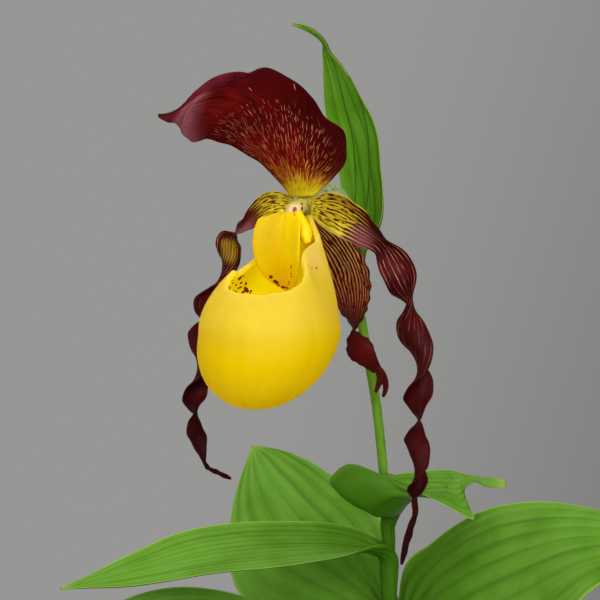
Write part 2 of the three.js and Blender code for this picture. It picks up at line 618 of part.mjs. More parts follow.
add(flower, 'petal_left', blade([
  [-3.2, -0.3, 0.2, 2.6, 8, 0], [-9.5, -1.5, 0, 4.4, 18, 0], [-14.5, -2, -2.8, 3.8, 25, 10],
  [-19, -2, -6.6, 2.8, 35, 30], [-24, -3, -10.5, 4.3, 45, 105], [-24.5, -3, -15.5, 4.2, 50, 147],
  [-27.5, -3.5, -22.5, 3.4, 60, 237], [-30.5, -5.5, -29.5, 4.5, 45, 327],
  [-31.5, -6, -36.5, 4.4, 55, 417], [-33, -7, -43, 4.4, 45, 507], [-33.5, -7.5, -51.5, 4, 60, 597],
  [-34.5, -8, -59.5, 4.2, 45, 687], [-34, -7.5, -65.5, 3.4, 60, 777],
  [-34, -7.5, -72.5, 3.2, 45, 860], [-32.5, -7, -80, 2, 60, 940], [-31.5, -6, -82.5, 1.3, 40, 980],
  [-28.5, -4.5, -84, 1.1, 20, 1000], [-25, -2, -86, 0.5, 0, 1020],
], [0, -1, 0], twist), 0x42101a, 0.5)

// Pouch-shaped lip: an egg-shaped bag whose mouth rises to the back, with its
// rim rolled inward and folded in at the right. Each row of the rim gives the
// angle from the back by the left, the radius and the height.
const RIM = [
  [0, 17.2, -4], [15, 16.8, -5], [30, 15.8, -9.2], [45, 14.4, -14.2], [60, 13.2, -16.2],
  [75, 12.3, -17.8], [90, 11.8, -18.7], [105, 11.8, -18.3], [120, 12.6, -19.8],
  [135, 13.4, -21.6], [150, 13.9, -22.4], [165, 14.2, -22.8], [180, 14.2, -22.9],
  [195, 14.3, -22.9], [210, 14.5, -22.8], [225, 15, -22.3], [240, 15.5, -21.5],
  [255, 15, -19.8], [270, 13.3, -16.8], [280, 11.7, -14.6], [290, 11.2, -12.3],
  [297, 12, -10.9], [304, 14.5, -9.2], [315, 14.7, -6.8], [330, 14.7, -3.8], [345, 16.5, -2.4],
].map(([angle, r, z]) => ({ turn: (angle - 180) * RAD, r, z }))

{
  const ring = (radiusOf, heightOf, ahead) => RIM.map((rim) => {
    const r = radiusOf(rim)
    return new THREE.Vector3(r * Math.sin(rim.turn), -LIP_AHEAD - ahead - r * Math.cos(rim.turn),
      heightOf(rim))
  })
  const pole = (z) => [new THREE.Vector3(0, -LIP_AHEAD - LIP_LEAN, z)]
  const below = [78, 62, 46, 31, 15, 0]
  const above = [0.2, 0.4, 0.58, 0.74, 0.88, 1]
  const wall = (inset, top) => {
    const R = LIP_R - inset
    const rows = below.map((e) => ring(() => R * Math.cos(e * RAD),
      () => -LIP_DROP - (LIP_DEPTH - inset) * Math.sin(e * RAD), LIP_LEAN * Math.sin(e * RAD)))
    for (const h of above.slice(0, top)) {
      rows.push(ring(({ turn, r }) => R - (R - r + inset) * h ** (2.2 - 0.6 * Math.max(0, Math.sin(turn))),
        ({ z }) => -LIP_DROP + h * (z + LIP_DROP), 0))
    }
    return rows
  }
  const roll = [[-0.4, 0.4], [-1, 0.3], [-1.4, -0.4], [-1.3, -1]]
    .map(([dr, dz]) => ring(({ r }) => r + dr, ({ z }) => z + dz, 0))
  add(flower, 'lip', skin([
    pole(-LIP_DROP - LIP_DEPTH), ...wall(0, 6), ...roll,
    ...wall(LIP_WALL, 5).reverse(), pole(-LIP_DROP - LIP_DEPTH + LIP_WALL),
  ], false), 0xf0cc1e, 0.45)
}

// Column: a short thick stalk with a pair of side anthers and the stigma.
{
  let column = toSolid(rod([
    [0, 0.6, 0.3, 2.2], [0, -1.6, 0.1, 2.4], [0, -4, -0.8, 2.6], [0, -5.6, -4, 2.3],
    [0, -6.2, -8, 1.8],
  ], 10, 2))
  for (const s of [-1, 1]) {
    column = column.add(toSolid(rod([
      [2.2 * s, -5.9, -1.2, 1.2], [4.6 * s, -7.4, -4.2, 2], [7 * s, -9, -7.4, 2.1],
      [8.3 * s, -9.8, -9.6, 0.9],
    ], 8, 2)))
  }
  const stigma = new THREE.SphereGeometry(1, 10, 6)
  stigma.scale(3.2, 2.8, 1.3)
  stigma.rotateX(0.7)
  stigma.translate(0, -6.2, -8.6)
  column = column.add(toSolid(stigma))
  add(flower, 'column', toGeometry(column), 0xe9d98a, 0.5)
}

// Staminode: the shield in front of the column, folded along its middle.
add(flower, 'staminode', blade([
  [-0.2, -7.9, -1, 2.8, 12, 0], [-0.2, -9.2, -2.1, 3.8, 18, 0], [-0.2, -10.2, -3.5, 7.2, 25, 0],
  [-0.2, -11, -5.6, 8.2, 28, 0], [-0.2, -11.5, -8.8, 8.6, 30, 0], [-0.2, -11.5, -12.3, 8.5, 32, 0],
  [-0.2, -10.9, -16, 7.6, 34, 0], [-0.1, -9.6, -19.4, 6, 34, 0], [0, -8, -22.3, 3.6, 30, 0],
  [0, -6.8, -24.4, 1.3, 20, 0],
], [0, -1, 0.3], { across: 9, per: 2, crease: 0.5 }), 0xf2c81a, 0.45)

export default group
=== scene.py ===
"""A lady's slipper orchid in flower, rooted in a round clay pot: its looks, built round
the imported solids. Metres, +Z up; the origin is the centre of the pot's flat base."""

import json
import math

import bmesh
import bpy
import numpy as np
from mathutils import Matrix, Vector

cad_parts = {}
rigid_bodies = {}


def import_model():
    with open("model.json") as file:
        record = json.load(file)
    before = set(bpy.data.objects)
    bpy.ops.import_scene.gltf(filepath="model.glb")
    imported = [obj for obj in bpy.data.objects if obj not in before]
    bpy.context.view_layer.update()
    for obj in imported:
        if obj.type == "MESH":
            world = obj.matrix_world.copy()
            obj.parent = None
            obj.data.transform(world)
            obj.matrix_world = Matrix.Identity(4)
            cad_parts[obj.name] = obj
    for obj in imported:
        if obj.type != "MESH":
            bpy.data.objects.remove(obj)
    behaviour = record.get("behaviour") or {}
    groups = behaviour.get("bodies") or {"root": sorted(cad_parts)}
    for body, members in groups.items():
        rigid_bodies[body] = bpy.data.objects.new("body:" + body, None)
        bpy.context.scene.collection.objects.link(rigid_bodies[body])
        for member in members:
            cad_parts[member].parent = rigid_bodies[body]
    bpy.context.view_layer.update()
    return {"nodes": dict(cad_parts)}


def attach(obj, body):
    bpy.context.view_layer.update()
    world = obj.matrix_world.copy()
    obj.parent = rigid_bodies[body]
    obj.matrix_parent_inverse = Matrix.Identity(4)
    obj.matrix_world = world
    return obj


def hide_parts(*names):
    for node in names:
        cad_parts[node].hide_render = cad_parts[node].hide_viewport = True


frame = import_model()

# ---------------------------------------------------------------- clay pot
# A flared pot of unglazed red clay, thrown, with a thicker band at the mouth, a flat
# foot and five drain holes. The bare clay is matte, with turning lines, a dusting of
# lime near the foot and a darker, damp stretch where the compost touches it.
MM = 0.001
RAD = math.pi / 180
POT_HEIGHT, POT_FOOT, POT_MOUTH = 104, 42, 58
POT_WALL, POT_FLOOR, POT_BAND = 3, 4, 12
DRAIN, DRAIN_RING = 4, 25


def feed(node, inputs):
    """Links or sets a node's inputs, by name or in order. None leaves one as it is."""
    for key, value in inputs.items() if isinstance(inputs, dict) else enumerate(inputs):
        socket = node.inputs[key]
        if isinstance(value, Signal):
            node.id_data.links.new(value.socket, socket)
        elif value is not None:
            socket.default_value = (*value, 1.0) if socket.type == "RGBA" else value


def wire(tree, kind, inputs=(), output=0, **settings):
    """Adds a node to a tree and gives what comes out of it."""
    node = tree.nodes.new(kind)
    for key, value in settings.items():
        setattr(node, key, value)
    feed(node, inputs)
    return Signal(node.outputs[output]) if node.outputs else None


class Signal:
    """A number, place or colour on its way through a material."""

    def __init__(self, socket):
        self.socket = socket

    def output(self, key):
        """Something else that comes out of the same node."""
        return Signal(self.socket.node.outputs[key])

    def into(self, kind, *inputs, **settings):
        """Leads it into a new node, ahead of any other inputs, and gives what comes out."""
        return wire(self.socket.id_data, kind, (self, *inputs), **settings)

    def math(self, operation, *others):
        return self.into("ShaderNodeMath", *others, operation=operation)

    def __add__(self, other):
        return self.math("ADD", other)

    def __sub__(self, other):
        return self.math("SUBTRACT", other)

    def __mul__(self, other):
        return self.math("MULTIPLY", other)

    def __rsub__(self, other):
        return self * -1.0 + other

    def rise(self, low, high, start=0.0, end=1.0):
        """Goes smoothly from start to end while the number goes from low to high."""
        return self.into("ShaderNodeMapRange", low, high, start, end,
                         interpolation_type="SMOOTHSTEP")

    def fall(self, low, high):
        return self.rise(low, high, 1.0, 0.0)

    def off(self, centre):
        return (self - centre).math("ABSOLUTE")

    def band(self, centre, half):
        """One at the centre, falling smoothly to nothing at half on each side."""
        return self.off(centre).fall(0.0, half)

    def stretched(self, x, y, z=1.0):
        return self.into("ShaderNodeVectorMath", (x, y, z), operation="MULTIPLY")

    def parts(self):
        apart = self.into("ShaderNodeSeparateXYZ")
        return [apart.output(axis) for axis in range(3)]

    def beside(self, y):
        """A place with this number as its x."""
        return self.into("ShaderNodeCombineXYZ", y)

    def noise(self, scale, detail=2.0, rough=0.5):
        return self.into("ShaderNodeTexNoise", None, scale, detail, rough)

    def vein_lines(self, count, sway, thin):
        """Lines along a blade that sway a little: one on each line, nothing between."""
        bend = (self.stretched(8, 3).noise(1.0) - 0.5) * sway
        wave = ((self.parts()[1] + bend) * (count * math.pi)).math("SINE").math("ABSOLUTE")
        return wave.rise(thin, min(1.0, thin + 0.35) if thin else 1.0)

    def spots(self, centres, soft):
        """One inside any of the spots, given as x, y, z and radius in millimetres. soft is
        the share of the radius over which they fade."""
        result = None
        for *centre, radius in centres:
            away = self.into("ShaderNodeVectorMath", [c * MM for c in centre],
                             operation="DISTANCE", output="Value")
            spot = away.fall(radius * MM * (1 - soft), radius * MM)
            result = spot if result is None else result.math("MAXIMUM", spot)
        return result


def mix(share, first, second):
    """A colour: first where share is 0, second where it is 1."""
    tree = next(s.socket.id_data for s in (share, first, second) if isinstance(s, Signal))
    return wire(tree, "ShaderNodeMix", {0: share, 6: first, 7: second}, 2, data_type="RGBA")


def layers(tint, *coats):
    """A colour with others laid over it in turn, each as far as its share."""
    for share, colour in coats:
        tint = mix(share, tint, colour)
    return tint


class Finish:
    """A surface finish: a Principled shader, with some light let through if it is thin."""

    def __init__(self, name, roughness, through=0.0, shine=0.5, **constants):
        self.material = bpy.data.materials.new(name)
        self.material.use_nodes = True
        self.tree = self.material.node_tree
        self.tree.nodes.clear()
        inputs = {key.replace("_", " "): value for key, value in constants.items()}
        result = self.shader = wire(self.tree, "ShaderNodeBsdfPrincipled", {
            "Roughness": roughness, "Specular IOR Level": shine, **inputs})
        self.glow = None
        if through:
            self.glow = wire(self.tree, "ShaderNodeBsdfTranslucent")
            result = wire(self.tree, "ShaderNodeMixShader", (through, result, self.glow))
        result.into("ShaderNodeOutputMaterial")

    def place(self, kind="Object"):
        """A place in space, or with UV one on the blade: along it and across it."""
        return wire(self.tree, "ShaderNodeTexCoord", output=kind)

    def under(self):
        """The number that each face of the mesh holds, one for an underside."""
        return wire(self.tree, "ShaderNodeAttribute", output="Fac", attribute_name="under")

    def coat(self, colour, height=None, depth=0.1, roughness=None, glow=None):
        """Links the colour, the fine relief (depth in millimetres), the roughness and the
        colour of the light let through."""
        normal = height and wire(self.tree, "ShaderNodeBump", {
            "Distance": depth * MM, "Strength": 1.0, "Height": height})
        feed(self.shader.socket.node,
             {"Base Color": colour, "Roughness": roughness, "Normal": normal})
        if self.glow:
            feed(self.glow.socket.node, {"Color": glow or colour, "Normal": normal})
        return self.material


def add_object(name, data):
    thing = bpy.data.objects.new(name, data)
    bpy.context.scene.collection.objects.link(thing)
    return thing


def mesh_piece(name, points, faces, finish, spread=None, under=None):
    """A smooth mesh from points in millimetres. spread holds a place on the UV map for
    each corner of each face, and under a number for each face."""
    mesh = bpy.data.meshes.new(name)
    mesh.from_pydata((np.asarray(points, float) * MM).tolist(), [], faces)
    if spread is not None:
        mesh.uv_layers.new(name="Spread").data.foreach_set(
            "uv", np.asarray(spread, np.float32).ravel())
    if under is not None:
        mesh.attributes.new("under", "FLOAT", "FACE").data.foreach_set(
            "value", np.asarray(under, np.float32))
    mesh.shade_smooth()
    mesh.materials.append(finish)
    return add_object(name, mesh)


def fit(piece, node):
    """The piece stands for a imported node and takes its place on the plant."""
    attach(piece, "root")
    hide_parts(node)


def closed_skin(rings):
    """Points and faces of a skin over rings of points, closed by its one-point ends."""
    start = np.cumsum([0] + [len(ring) for ring in rings])
    faces = []
    for k in range(len(rings) - 1):
        low, high = len(rings[k]), len(rings[k + 1])
        for j in range(max(low, high)):
            i = (j + 1) % max(low, high)
            face = (start[k] + j % low, start[k] + i % low,
                    start[k + 1] + i % high, start[k + 1] + j % high)
            faces.append(list(dict.fromkeys(map(int, face))))
    return np.concatenate(rings), faces


def turned(profile, around):
    """Rings of a shape thrown round the Z axis, from a list of radius and height."""
    angle = np.linspace(0, 2 * math.pi, around, endpoint=False)
    return [np.array([[0.0, 0.0, height]]) if radius == 0 else
            np.stack([radius * np.cos(angle), radius * np.sin(angle),
                      np.full(around, float(height))], 1) for radius, height in profile]


def softened(profile, corner):
    """The profile with each corner rounded by a short curve."""
    rows = [np.array(p, float) for p in profile]
    result = [rows[0]]
    for before, here, after in zip(rows, rows[1:], rows[2:]):
        first, last = [here + (p - here) / np.linalg.norm(p - here) * min(
            corner, 0.45 * np.linalg.norm(p - here)) for p in (before, after)]
        for f in np.linspace(0, 1, 4):
            result.append((1 - f) ** 2 * first + 2 * f * (1 - f) * here + f * f * last)
    return [tuple(p) for p in (*result, rows[-1])]


def filled_in(profile, longest):
    """The profile with extra points, so that no step is longer than longest."""
    result = [profile[0]]
    for first, last in zip(profile, profile[1:]):
        count = max(1, math.ceil(math.dist(first, last) / longest))
        for i in range(1, count + 1):
            result.append(tuple(a + (b - a) * i / count for a, b in zip(first, last)))
    return result


def pot_radius(height):
    return POT_FOOT + (POT_MOUTH - 3 - POT_FOOT) * height / POT_HEIGHT


band_foot = POT_HEIGHT - POT_BAND
pot_profile = filled_in(softened([
    (0, 0), (POT_FOOT, 0), (pot_radius(band_foot) - 0.3, band_foot - 1),
    (pot_radius(band_foot) + 2.2, band_foot), (POT_MOUTH - 0.4, POT_HEIGHT),
    (POT_MOUTH - 5.2, POT_HEIGHT), (pot_radius(POT_FLOOR) - POT_WALL, POT_FLOOR), (0, POT_FLOOR),
], corner=1.6), longest=2.0)
pot_rings = turned(pot_profile, around=144)
for ring in pot_rings:
    if len(ring) > 1 and 3 < ring[0, 2] < POT_HEIGHT - 1:
        angle = np.arctan2(ring[:, 1], ring[:, 0])
        height = ring[:, 2]
        wobble = 0.1 * np.sin(3 * angle + 0.05 * height) + 0.06 * np.sin(1.9 * height)
        ring[:, :2] *= (1 + wobble / 50)[:, None]

clay = Finish("bare_clay", 0.86)
place = clay.place()
height = place.parts()[2]
speck = place.noise(900)
lines = place.stretched(8, 8, 650).noise(1.0, 3)
lime = place.stretched(1, 1, 0.5).noise(70, 5, 0.7).rise(0.5, 0.66)
damp = height.rise(0.07, 0.094) * height.rise(0.094, 0.1, 1.0, 0.6)
tint = layers(
    (0.36, 0.125, 0.062), (place.noise(38, 4, 0.6).rise(0.3, 0.7), (0.47, 0.19, 0.1)),
    (speck.rise(0.62, 0.72) * 0.5, (0.2, 0.075, 0.04)),
    (lime * height.rise(0.004, 0.06, 1.0, 0.1) * 0.55, (0.62, 0.52, 0.44)),
    (damp * 0.25, (0.22, 0.085, 0.05)))
clay_finish = clay.coat(tint, lines * 0.6 + speck * 0.4, 0.35)

pot = mesh_piece("pot_clay", *closed_skin(pot_rings), clay_finish)
for number in range(5):
    turn = 2 * math.pi * number / 5
    bpy.ops.mesh.primitive_cylinder_add(
        vertices=40, radius=DRAIN * MM, depth=20 * MM,
        location=(DRAIN_RING * math.cos(turn) * MM, DRAIN_RING * math.sin(turn) * MM, 0))
    drill = bpy.context.object
    cut = pot.modifiers.new("drain", "BOOLEAN")
    cut.object = drill
    cut.operation = "DIFFERENCE"
    bpy.context.view_layer.objects.active = pot
    bpy.ops.object.modifier_apply(modifier=cut.name)
    bpy.data.objects.remove(drill)
fit(pot, "pot")

# ------------------------------------------------------------ bark compost
# Coarse orchid compost pressed round the rhizome: chips of conifer bark on a bed of
# fine crumb, with a few grains of white perlite. The top is gently uneven.
SOIL_TOP = 96


def soil_bump(x, y):
    return 0.9 * np.sin(0.31 * x + 1) * np.cos(0.27 * y) + 0.5 * np.sin(0.7 * x - 0.5 * y)


def scatter(name, host, units, finish, sizes, tilt, seed, density):
    """Places the units over the host's faces with Geometry Nodes, upright on each face,
    turned at random, and returns them as one plain mesh. density is per square metre."""
    values = {"Density": float(density), "Smallest": sizes[0], "Largest": sizes[1],
              "Tilt": tilt, "Seed": seed}
    group = bpy.data.node_groups.new(name, "GeometryNodeTree")

    def socket(key, kind, way="INPUT"):
        return group.interface.new_socket(
            key, in_out=way, socket_type="NodeSocket" + kind).identifier

    socket("Geometry", "Geometry")
    keys = {key: socket(key, "Int" if key == "Seed" else "Float") for key in values}
    socket("Geometry", "Geometry", "OUTPUT")

    start = wire(group, "NodeGroupInput")
    given = {key: start.output(key) for key in values}
    seeded = {"Seed": given["Seed"]}
    points = wire(group, "GeometryNodeDistributePointsOnFaces",
                  {"Mesh": start, "Density": given["Density"], **seeded})
    drawn = wire(group, "GeometryNodeCollectionInfo", {
        "Collection": units, "Separate Children": True, "Reset Children": True})
    size = wire(group, "FunctionNodeRandomValue",
                {2: given["Smallest"], 3: given["Largest"], **seeded}, 1)
    placed = wire(group, "GeometryNodeInstanceOnPoints", {
        "Points": points, "Instance": drawn, "Pick Instance": True,
        "Rotation": points.output("Rotation"), "Scale": size})
    tilt, back = given["Tilt"], given["Tilt"] * -1.0
    spin = wire(group, "FunctionNodeRandomValue", {
        0: back.beside(back), 1: tilt.into("ShaderNodeCombineXYZ", tilt, 2 * math.pi),
        **seeded}, data_type="FLOAT_VECTOR")
    real = wire(group, "GeometryNodeRotateInstances", {
        "Instances": placed, "Rotation": spin}).into("GeometryNodeRealizeInstances")
    real.into("GeometryNodeSetMaterial", None, finish).into("NodeGroupOutput")

    grower = host.modifiers.new(name, "NODES")
    grower.node_group = group
    for key, value in values.items():
        grower[keys[key]] = value
    mesh = bpy.data.meshes.new_from_object(host.evaluated_get(
        bpy.context.evaluated_depsgraph_get()))
    mesh.name = name
    host.modifiers.remove(grower)
    return add_object(name, mesh)


def unit_set(name, make, sizes):
    """A collection of small meshes that scatter draws from, one for each size."""
    units = bpy.data.collections.new(name + "s")
    for number, size in enumerate(sizes):
        mesh = make(f"{name}_{number}", *size)
        units.objects.link(bpy.data.objects.new(mesh.name, mesh))
    return units


def chip_mesh(name, chance, length, width, thick):
    """A split bark chip: the hull of a few points in a flat box."""
    shape = bmesh.new()
    for corner in chance.uniform(-0.5, 0.5, (18, 3)):
        corner = np.sign(corner) * np.abs(corner * 2) ** 0.35 / 2
        shape.verts.new(corner * np.array([length, width, thick]) * MM)
    bmesh.ops.convex_hull(shape, input=shape.verts)
    loose = [v for v in shape.verts if not v.link_faces]
    bmesh.ops.delete(shape, geom=loose, context="VERTS")
    mesh = bpy.data.meshes.new(name)
    shape.to_mesh(mesh)
    shape.free()
    return mesh


def soil_wall(height):
    return pot_radius(height) - POT_WALL - 0.6


soil_profile = filled_in([(0, POT_FLOOR + 0.3), (soil_wall(POT_FLOOR) - 0.6, POT_FLOOR + 0.3),
                          (soil_wall(SOIL_TOP - 8) - 0.3, SOIL_TOP - 2.5), (42, SOIL_TOP - 0.4),
                          (30, SOIL_TOP), (8, SOIL_TOP + 0.6), (0, SOIL_TOP + 0.6)],
                         longest=1.5)
soil_rings = turned(soil_profile, around=120)
for ring in soil_rings:
    if ring[0, 2] > SOIL_TOP - 2.6:
        ring[:, 2] += soil_bump(ring[:, 0], ring[:, 1])
        ring[:, 2] += 0.35 * np.sin(1.7 * ring[:, 0]) * np.sin(1.9 * ring[:, 1] + 1)

crumb = Finish("bark_crumb", 0.95)
grain = crumb.place().noise(420, 4, 0.7)
tint = mix(grain.rise(0.35, 0.65), (0.012, 0.007, 0.004), (0.07, 0.038, 0.02))
soil = mesh_piece("soil_bed", *closed_skin(soil_rings), crumb.coat(tint, grain, 1.2))
fit(soil, "soil")

bark = Finish("split_bark", 0.82)
fibre = bark.place().stretched(1, 4, 1).noise(220, 4, 0.65)
patch = bark.place().noise(60)
tint = layers((0.05, 0.022, 0.011), (patch.rise(0.38, 0.62), (0.16, 0.08, 0.042)),
              (fibre.rise(0.5, 0.7), (0.26, 0.15, 0.085)))
bark_finish = bark.coat(tint, fibre, 0.4)

bed_rings = turned([(4.6, SOIL_TOP + 0.3), (15, SOIL_TOP), (30, SOIL_TOP - 0.2),
                    (40, SOIL_TOP - 0.8), (46.5, SOIL_TOP - 1.6)], around=48)
for ring in bed_rings:
    ring[:, 2] += soil_bump(ring[:, 0], ring[:, 1])
bed = mesh_piece("chip_bed", *closed_skin(bed_rings), bark_finish)
chance = np.random.default_rng(5)
CHIP_SIZES = [(9, 6, 2.4), (7, 5, 2.2), (11, 5, 2.2), (6, 5, 3), (8, 7, 2), (5, 3.5, 2)]
chips = unit_set("chip", chip_mesh, [(chance, *size) for size in CHIP_SIZES])
bark_chips = scatter("bark_chips", bed, chips, bark_finish, sizes=(0.55, 1.0), tilt=0.35,
                     seed=3, density=90000)
fit(bark_chips, "soil")
GRAIN_SIZE, GRAIN_LIFT = (2.6, 2.2, 2), 1.6
perlite = Finish("perlite", 0.9)
pore = perlite.place().noise(1500)
perlite_finish = perlite.coat(
    mix(pore.rise(0.4, 0.6), (0.6, 0.58, 0.54), (0.85, 0.84, 0.8)), pore, 0.2)
grains = unit_set("grain", chip_mesh, [(chance, *GRAIN_SIZE)] * 3)
perlite_grains = scatter("perlite_grains", bed, grains, perlite_finish, sizes=(0.5, 1.0),
                         tilt=1.5, seed=8, density=9000)
perlite_grains.data.transform(Matrix.Translation((0, 0, GRAIN_LIFT * MM)))
fit(perlite_grains, "soil")
for thing in (bed, *chips.objects, *grains.objects):
    bpy.data.objects.remove(thing)

root = Finish("root_cord", 0.85)
root_skin = root.place().noise(300, 3)
root_finishes = frame["nodes"]["rhizome"].data.materials
root_finishes.clear()
root_finishes.append(root.coat(mix(root_skin, (0.2, 0.11, 0.05), (0.42, 0.29, 0.16)),
                               root_skin, 0.3))

# -------------------------------------------------------------------- stem
# The upright flowering stem: a round green stalk, faintly ribbed, a little swollen
# where each leaf is set, paler at the foot and covered with short soft hairs.
STEM = [
    (0, 0, 86.4, 3.4), (0, 0, 100, 2.6), (0, 0, 120, 2.4), (0, 0, 140, 2.2),
    (0, 0, 174.5, 1.7), (-1, 0, 201.5, 1.4), (-2.5, 0, 219.5, 1.5),
    (-5, 0, 241, 1.5), (-9, 0, 263, 1.5), (-12.6, 0, 284.2, 1.5),
]


def unit(vectors):
    return vectors / np.maximum(np.linalg.norm(vectors, axis=-1, keepdims=True), 1e-9)


def trace(rows, at=0):
    """Smooth path through rows of numbers, three of which, from column at on, are a
    place. The result takes places along the path: 0 at the first row, 1 at the next."""
    rows = np.array(rows, float)
    step = np.linalg.norm(np.diff(rows[:, at:at + 3], axis=0), axis=1)[:, None]
    rise = np.diff(rows, axis=0) / step
    slope = np.repeat(rise[:1], len(rows), axis=0)
    if len(rows) > 2:
        slope[1:-1] = (step[:-1] * rise[1:] + step[1:] * rise[:-1]) / (step[:-1] + step[1:])
        slope[0] = 2 * rise[0] - slope[1]
        slope[-1] = 2 * rise[-1] - slope[-2]

    def path(u):
        u = np.asarray(u, float)
        i = np.clip(np.floor(u).astype(int), 0, len(step) - 1)
        f = np.clip(u - i, 0, 1)[..., None]
        a = 1 + f * f * (2 * f - 3)
        return (a * rows[i] + (1 - a) * rows[i + 1] +
                step[i] * (f * (1 - f) ** 2 * slope[i] + f * f * (f - 1) * slope[i + 1]))

    return path


def heading(path, u, last):
    """The way that a path runs at each of the places u."""
    return unit(path(np.minimum(u + 0.02, last))[:, :3] - path(np.maximum(u - 0.02, 0))[:, :3])


def rod(rows, sides, per, ribs=0, rib=0.0, swell=()):
    """Rings of a round rod along rows of place and radius, with ribs along it and, at
    each height in swell, a slight swelling."""
    path = trace(rows)
    last = len(rows) - 1
    u = np.linspace(0, last, last * per + 1)
    spots = path(u)
    along = heading(path, u, last)
    side = np.array([1.0, 0, 0]) if abs(along[0, 0]) < 0.8 else np.array([0, 0, 1.0])
    turn = np.linspace(0, 2 * math.pi, sides, endpoint=False)
    rings = [spots[:1, :3]]
    for spot, ahead in zip(spots, along):
        side = unit(side - side @ ahead * ahead)
        up = np.cross(ahead, side)
        radius = spot[3] * (1 + rib * np.cos(ribs * turn))
        for height in swell:
            radius = radius + 0.25 * math.exp(-((spot[2] - height) / 1.6) ** 2)
        rings.append(spot[:3] + radius[:, None] * (
            np.cos(turn)[:, None] * side + np.sin(turn)[:, None] * up))
    rings.append(spots[-1:, :3])
    return rings


def hair_mesh(name, length, thick):
    """A fine tapering hair, a little bowed."""
    rings = rod([(0, 0, -0.05, thick), (0.03 * length, 0, 0.4 * length, 0.7 * thick),
                 (0.14 * length, 0, length, 0.1 * thick)], 3, 1)
    points, faces = closed_skin(rings)
    mesh = bpy.data.meshes.new(name)
    mesh.from_pydata((points * MM).tolist(), [], faces)
    return mesh


stalk = Finish("stem_green", 0.5, 0.12, shine=0.12)
place = stalk.place()
grain = place.stretched(1, 1, 0.12).noise(1400, 3, 0.6)
tint = layers(
    (0.075, 0.19, 0.004), (place.noise(120).rise(0.35, 0.65), (0.11, 0.25, 0.012)),
    (grain.rise(0.45, 0.7) * 0.45, (0.17, 0.3, 0.05)),
    (place.parts()[2].rise(0.09, 0.13, 0.7, 0.0), (0.32, 0.34, 0.15)))
LEAF_NODES = (115, 136, 148, 165, 182, 196)
stem_rings = rod(STEM, sides=28, per=24, ribs=7, rib=0.012, swell=LEAF_NODES)
stem = mesh_piece("stem_stalk", *closed_skin(stem_rings), stalk.coat(tint, grain, 0.12))
fit(stem, "stem")

down_finish = Finish("plant_down", 0.6, 0.3).coat((0.36, 0.48, 0.16))
HAIR_SIZES = [(0.7, 0.03), (0.9, 0.03), (0.55, 0.026)]
hairs = unit_set("hair", hair_mesh, HAIR_SIZES)
stem_hairs = scatter("stem_hairs", stem, hairs, down_finish, sizes=(0.6, 1.1), tilt=0.5,
                     seed=11, density=2.6e6)
fit(stem_hairs, "stem")


def stem_at(height):
    u = np.linspace(0, len(STEM) - 1, 4000)
    spots = trace(STEM)(u)
    return spots[np.searchsorted(spots[:, 2], height)]


# ------------------------------------------------------------------ leaves
# Two short sheaths at the foot and five foliage leaves. Each leaf base wraps the stem,
# then opens into a broad thin blade, folded lengthwise into pleats along its parallel
# veins, satin above, duller and deeper green below, with a pale, slightly waved margin.
THIN_BLADE, FULL_BLADE = 0.6, 0.7
SHEATH = 146 * RAD
CLEAR = 0.3


def direction(azimuth):
    """The way that a leaf stands off the stem, as x and y; azimuth is in degrees from +X."""
    return math.cos(azimuth * RAD), math.sin(azimuth * RAD)


def clasp(start, end, azimuth):
    """Three levels of a leaf base round the stem: direction, centre, height and reach."""
    levels = []
    for f in (0, 0.5, 1):
        height = start + (end - start) * f
        x, y, _, radius = stem_at(height)
        levels.append((*direction(azimuth), x, y, height,
                       radius + CLEAR + THIN_BLADE / 2 + 0.1 + 0.15 * f))
    return levels


def sheath_rows(start, end, azimuth):
    return [(x + reach * c, y + reach * s, z, SHEATH * reach, 146, 0)
            for c, s, x, y, z, reach in clasp(start, end, azimuth)]


def sheath_guides(start, end, azimuth, opening):
    """Rows of five places: a leaf base round the stem, then the mouth that it opens to."""
    across = np.array([-1, -0.5, 0, 0.5, 1])
    rows = [[(x + reach * (c * math.cos(a) + s * math.sin(a)),
              y + reach * (s * math.cos(a) - c * math.sin(a)), z) for a in across * SHEATH]
            for c, s, x, y, z, reach in clasp(start, end, azimuth)]
    c, s = direction(azimuth)
    reach, z, half, cup, tilt = opening
    bend = cup * RAD
    side = half / bend * np.sin(across * bend)
    up = half / bend * (1 - np.cos(across * bend))
    back = reach - up * math.cos(tilt * RAD)
    rows.append(list(zip(back * c + side * s, back * s - side * c, z + up * math.sin(tilt * RAD))))
    return rows


def outward(azimuth, rows):
    """Rows of reach from the stem, height, half width, cup and turn, set out in space."""
    c, s = direction(azimuth)
    return [(reach * c, reach * s, *rest) for reach, *rest in rows]


def spacing(count):
    """Places across a blade, -1 to 1: even, with two more close to each margin."""
    return np.array([-1, -0.996, *np.linspace(-0.985, 0.985, count - 4), 0.996, 1])


def blade(rows, face, per=12, across=33):
    """Grid of a blade's middle surface, from rows of place, half width, cup and turn."""
    path = trace(rows)
    last = len(rows) - 1
    u = np.linspace(0, last, last * per + 1)
    q = path(u)
    along = heading(path, u, last)
    look = np.array(face, float)
    base = unit(look - (along @ look)[:, None] * along)
    turn = q[:, 5:6] * RAD
    normal = (base * np.cos(turn) + np.cross(along, base) * np.sin(turn))[:, None]
    side = np.cross(along, normal[:, 0])[:, None]
    bend = np.where(np.abs(q[:, 4:5]) < 0.6, 0.6, q[:, 4:5]) * RAD
    half = np.maximum(q[:, 3:4], 0.35)
    t = spacing(across) * bend
    return (q[:, None, :3] + side * (half * np.sin(t) / bend)[..., None] +
            normal * (half * (1 - np.cos(t)) / bend)[..., None])


def five(row):
    """Five places across a leaf from three: both margins and the midrib."""
    a, b, c = np.array(row, float)
    left, right = [b + v * (c - a) / 2 + v * v * ((c + a) / 2 - b) for v in (-0.5, 0.5)]
    return [a, left, b, right, c]


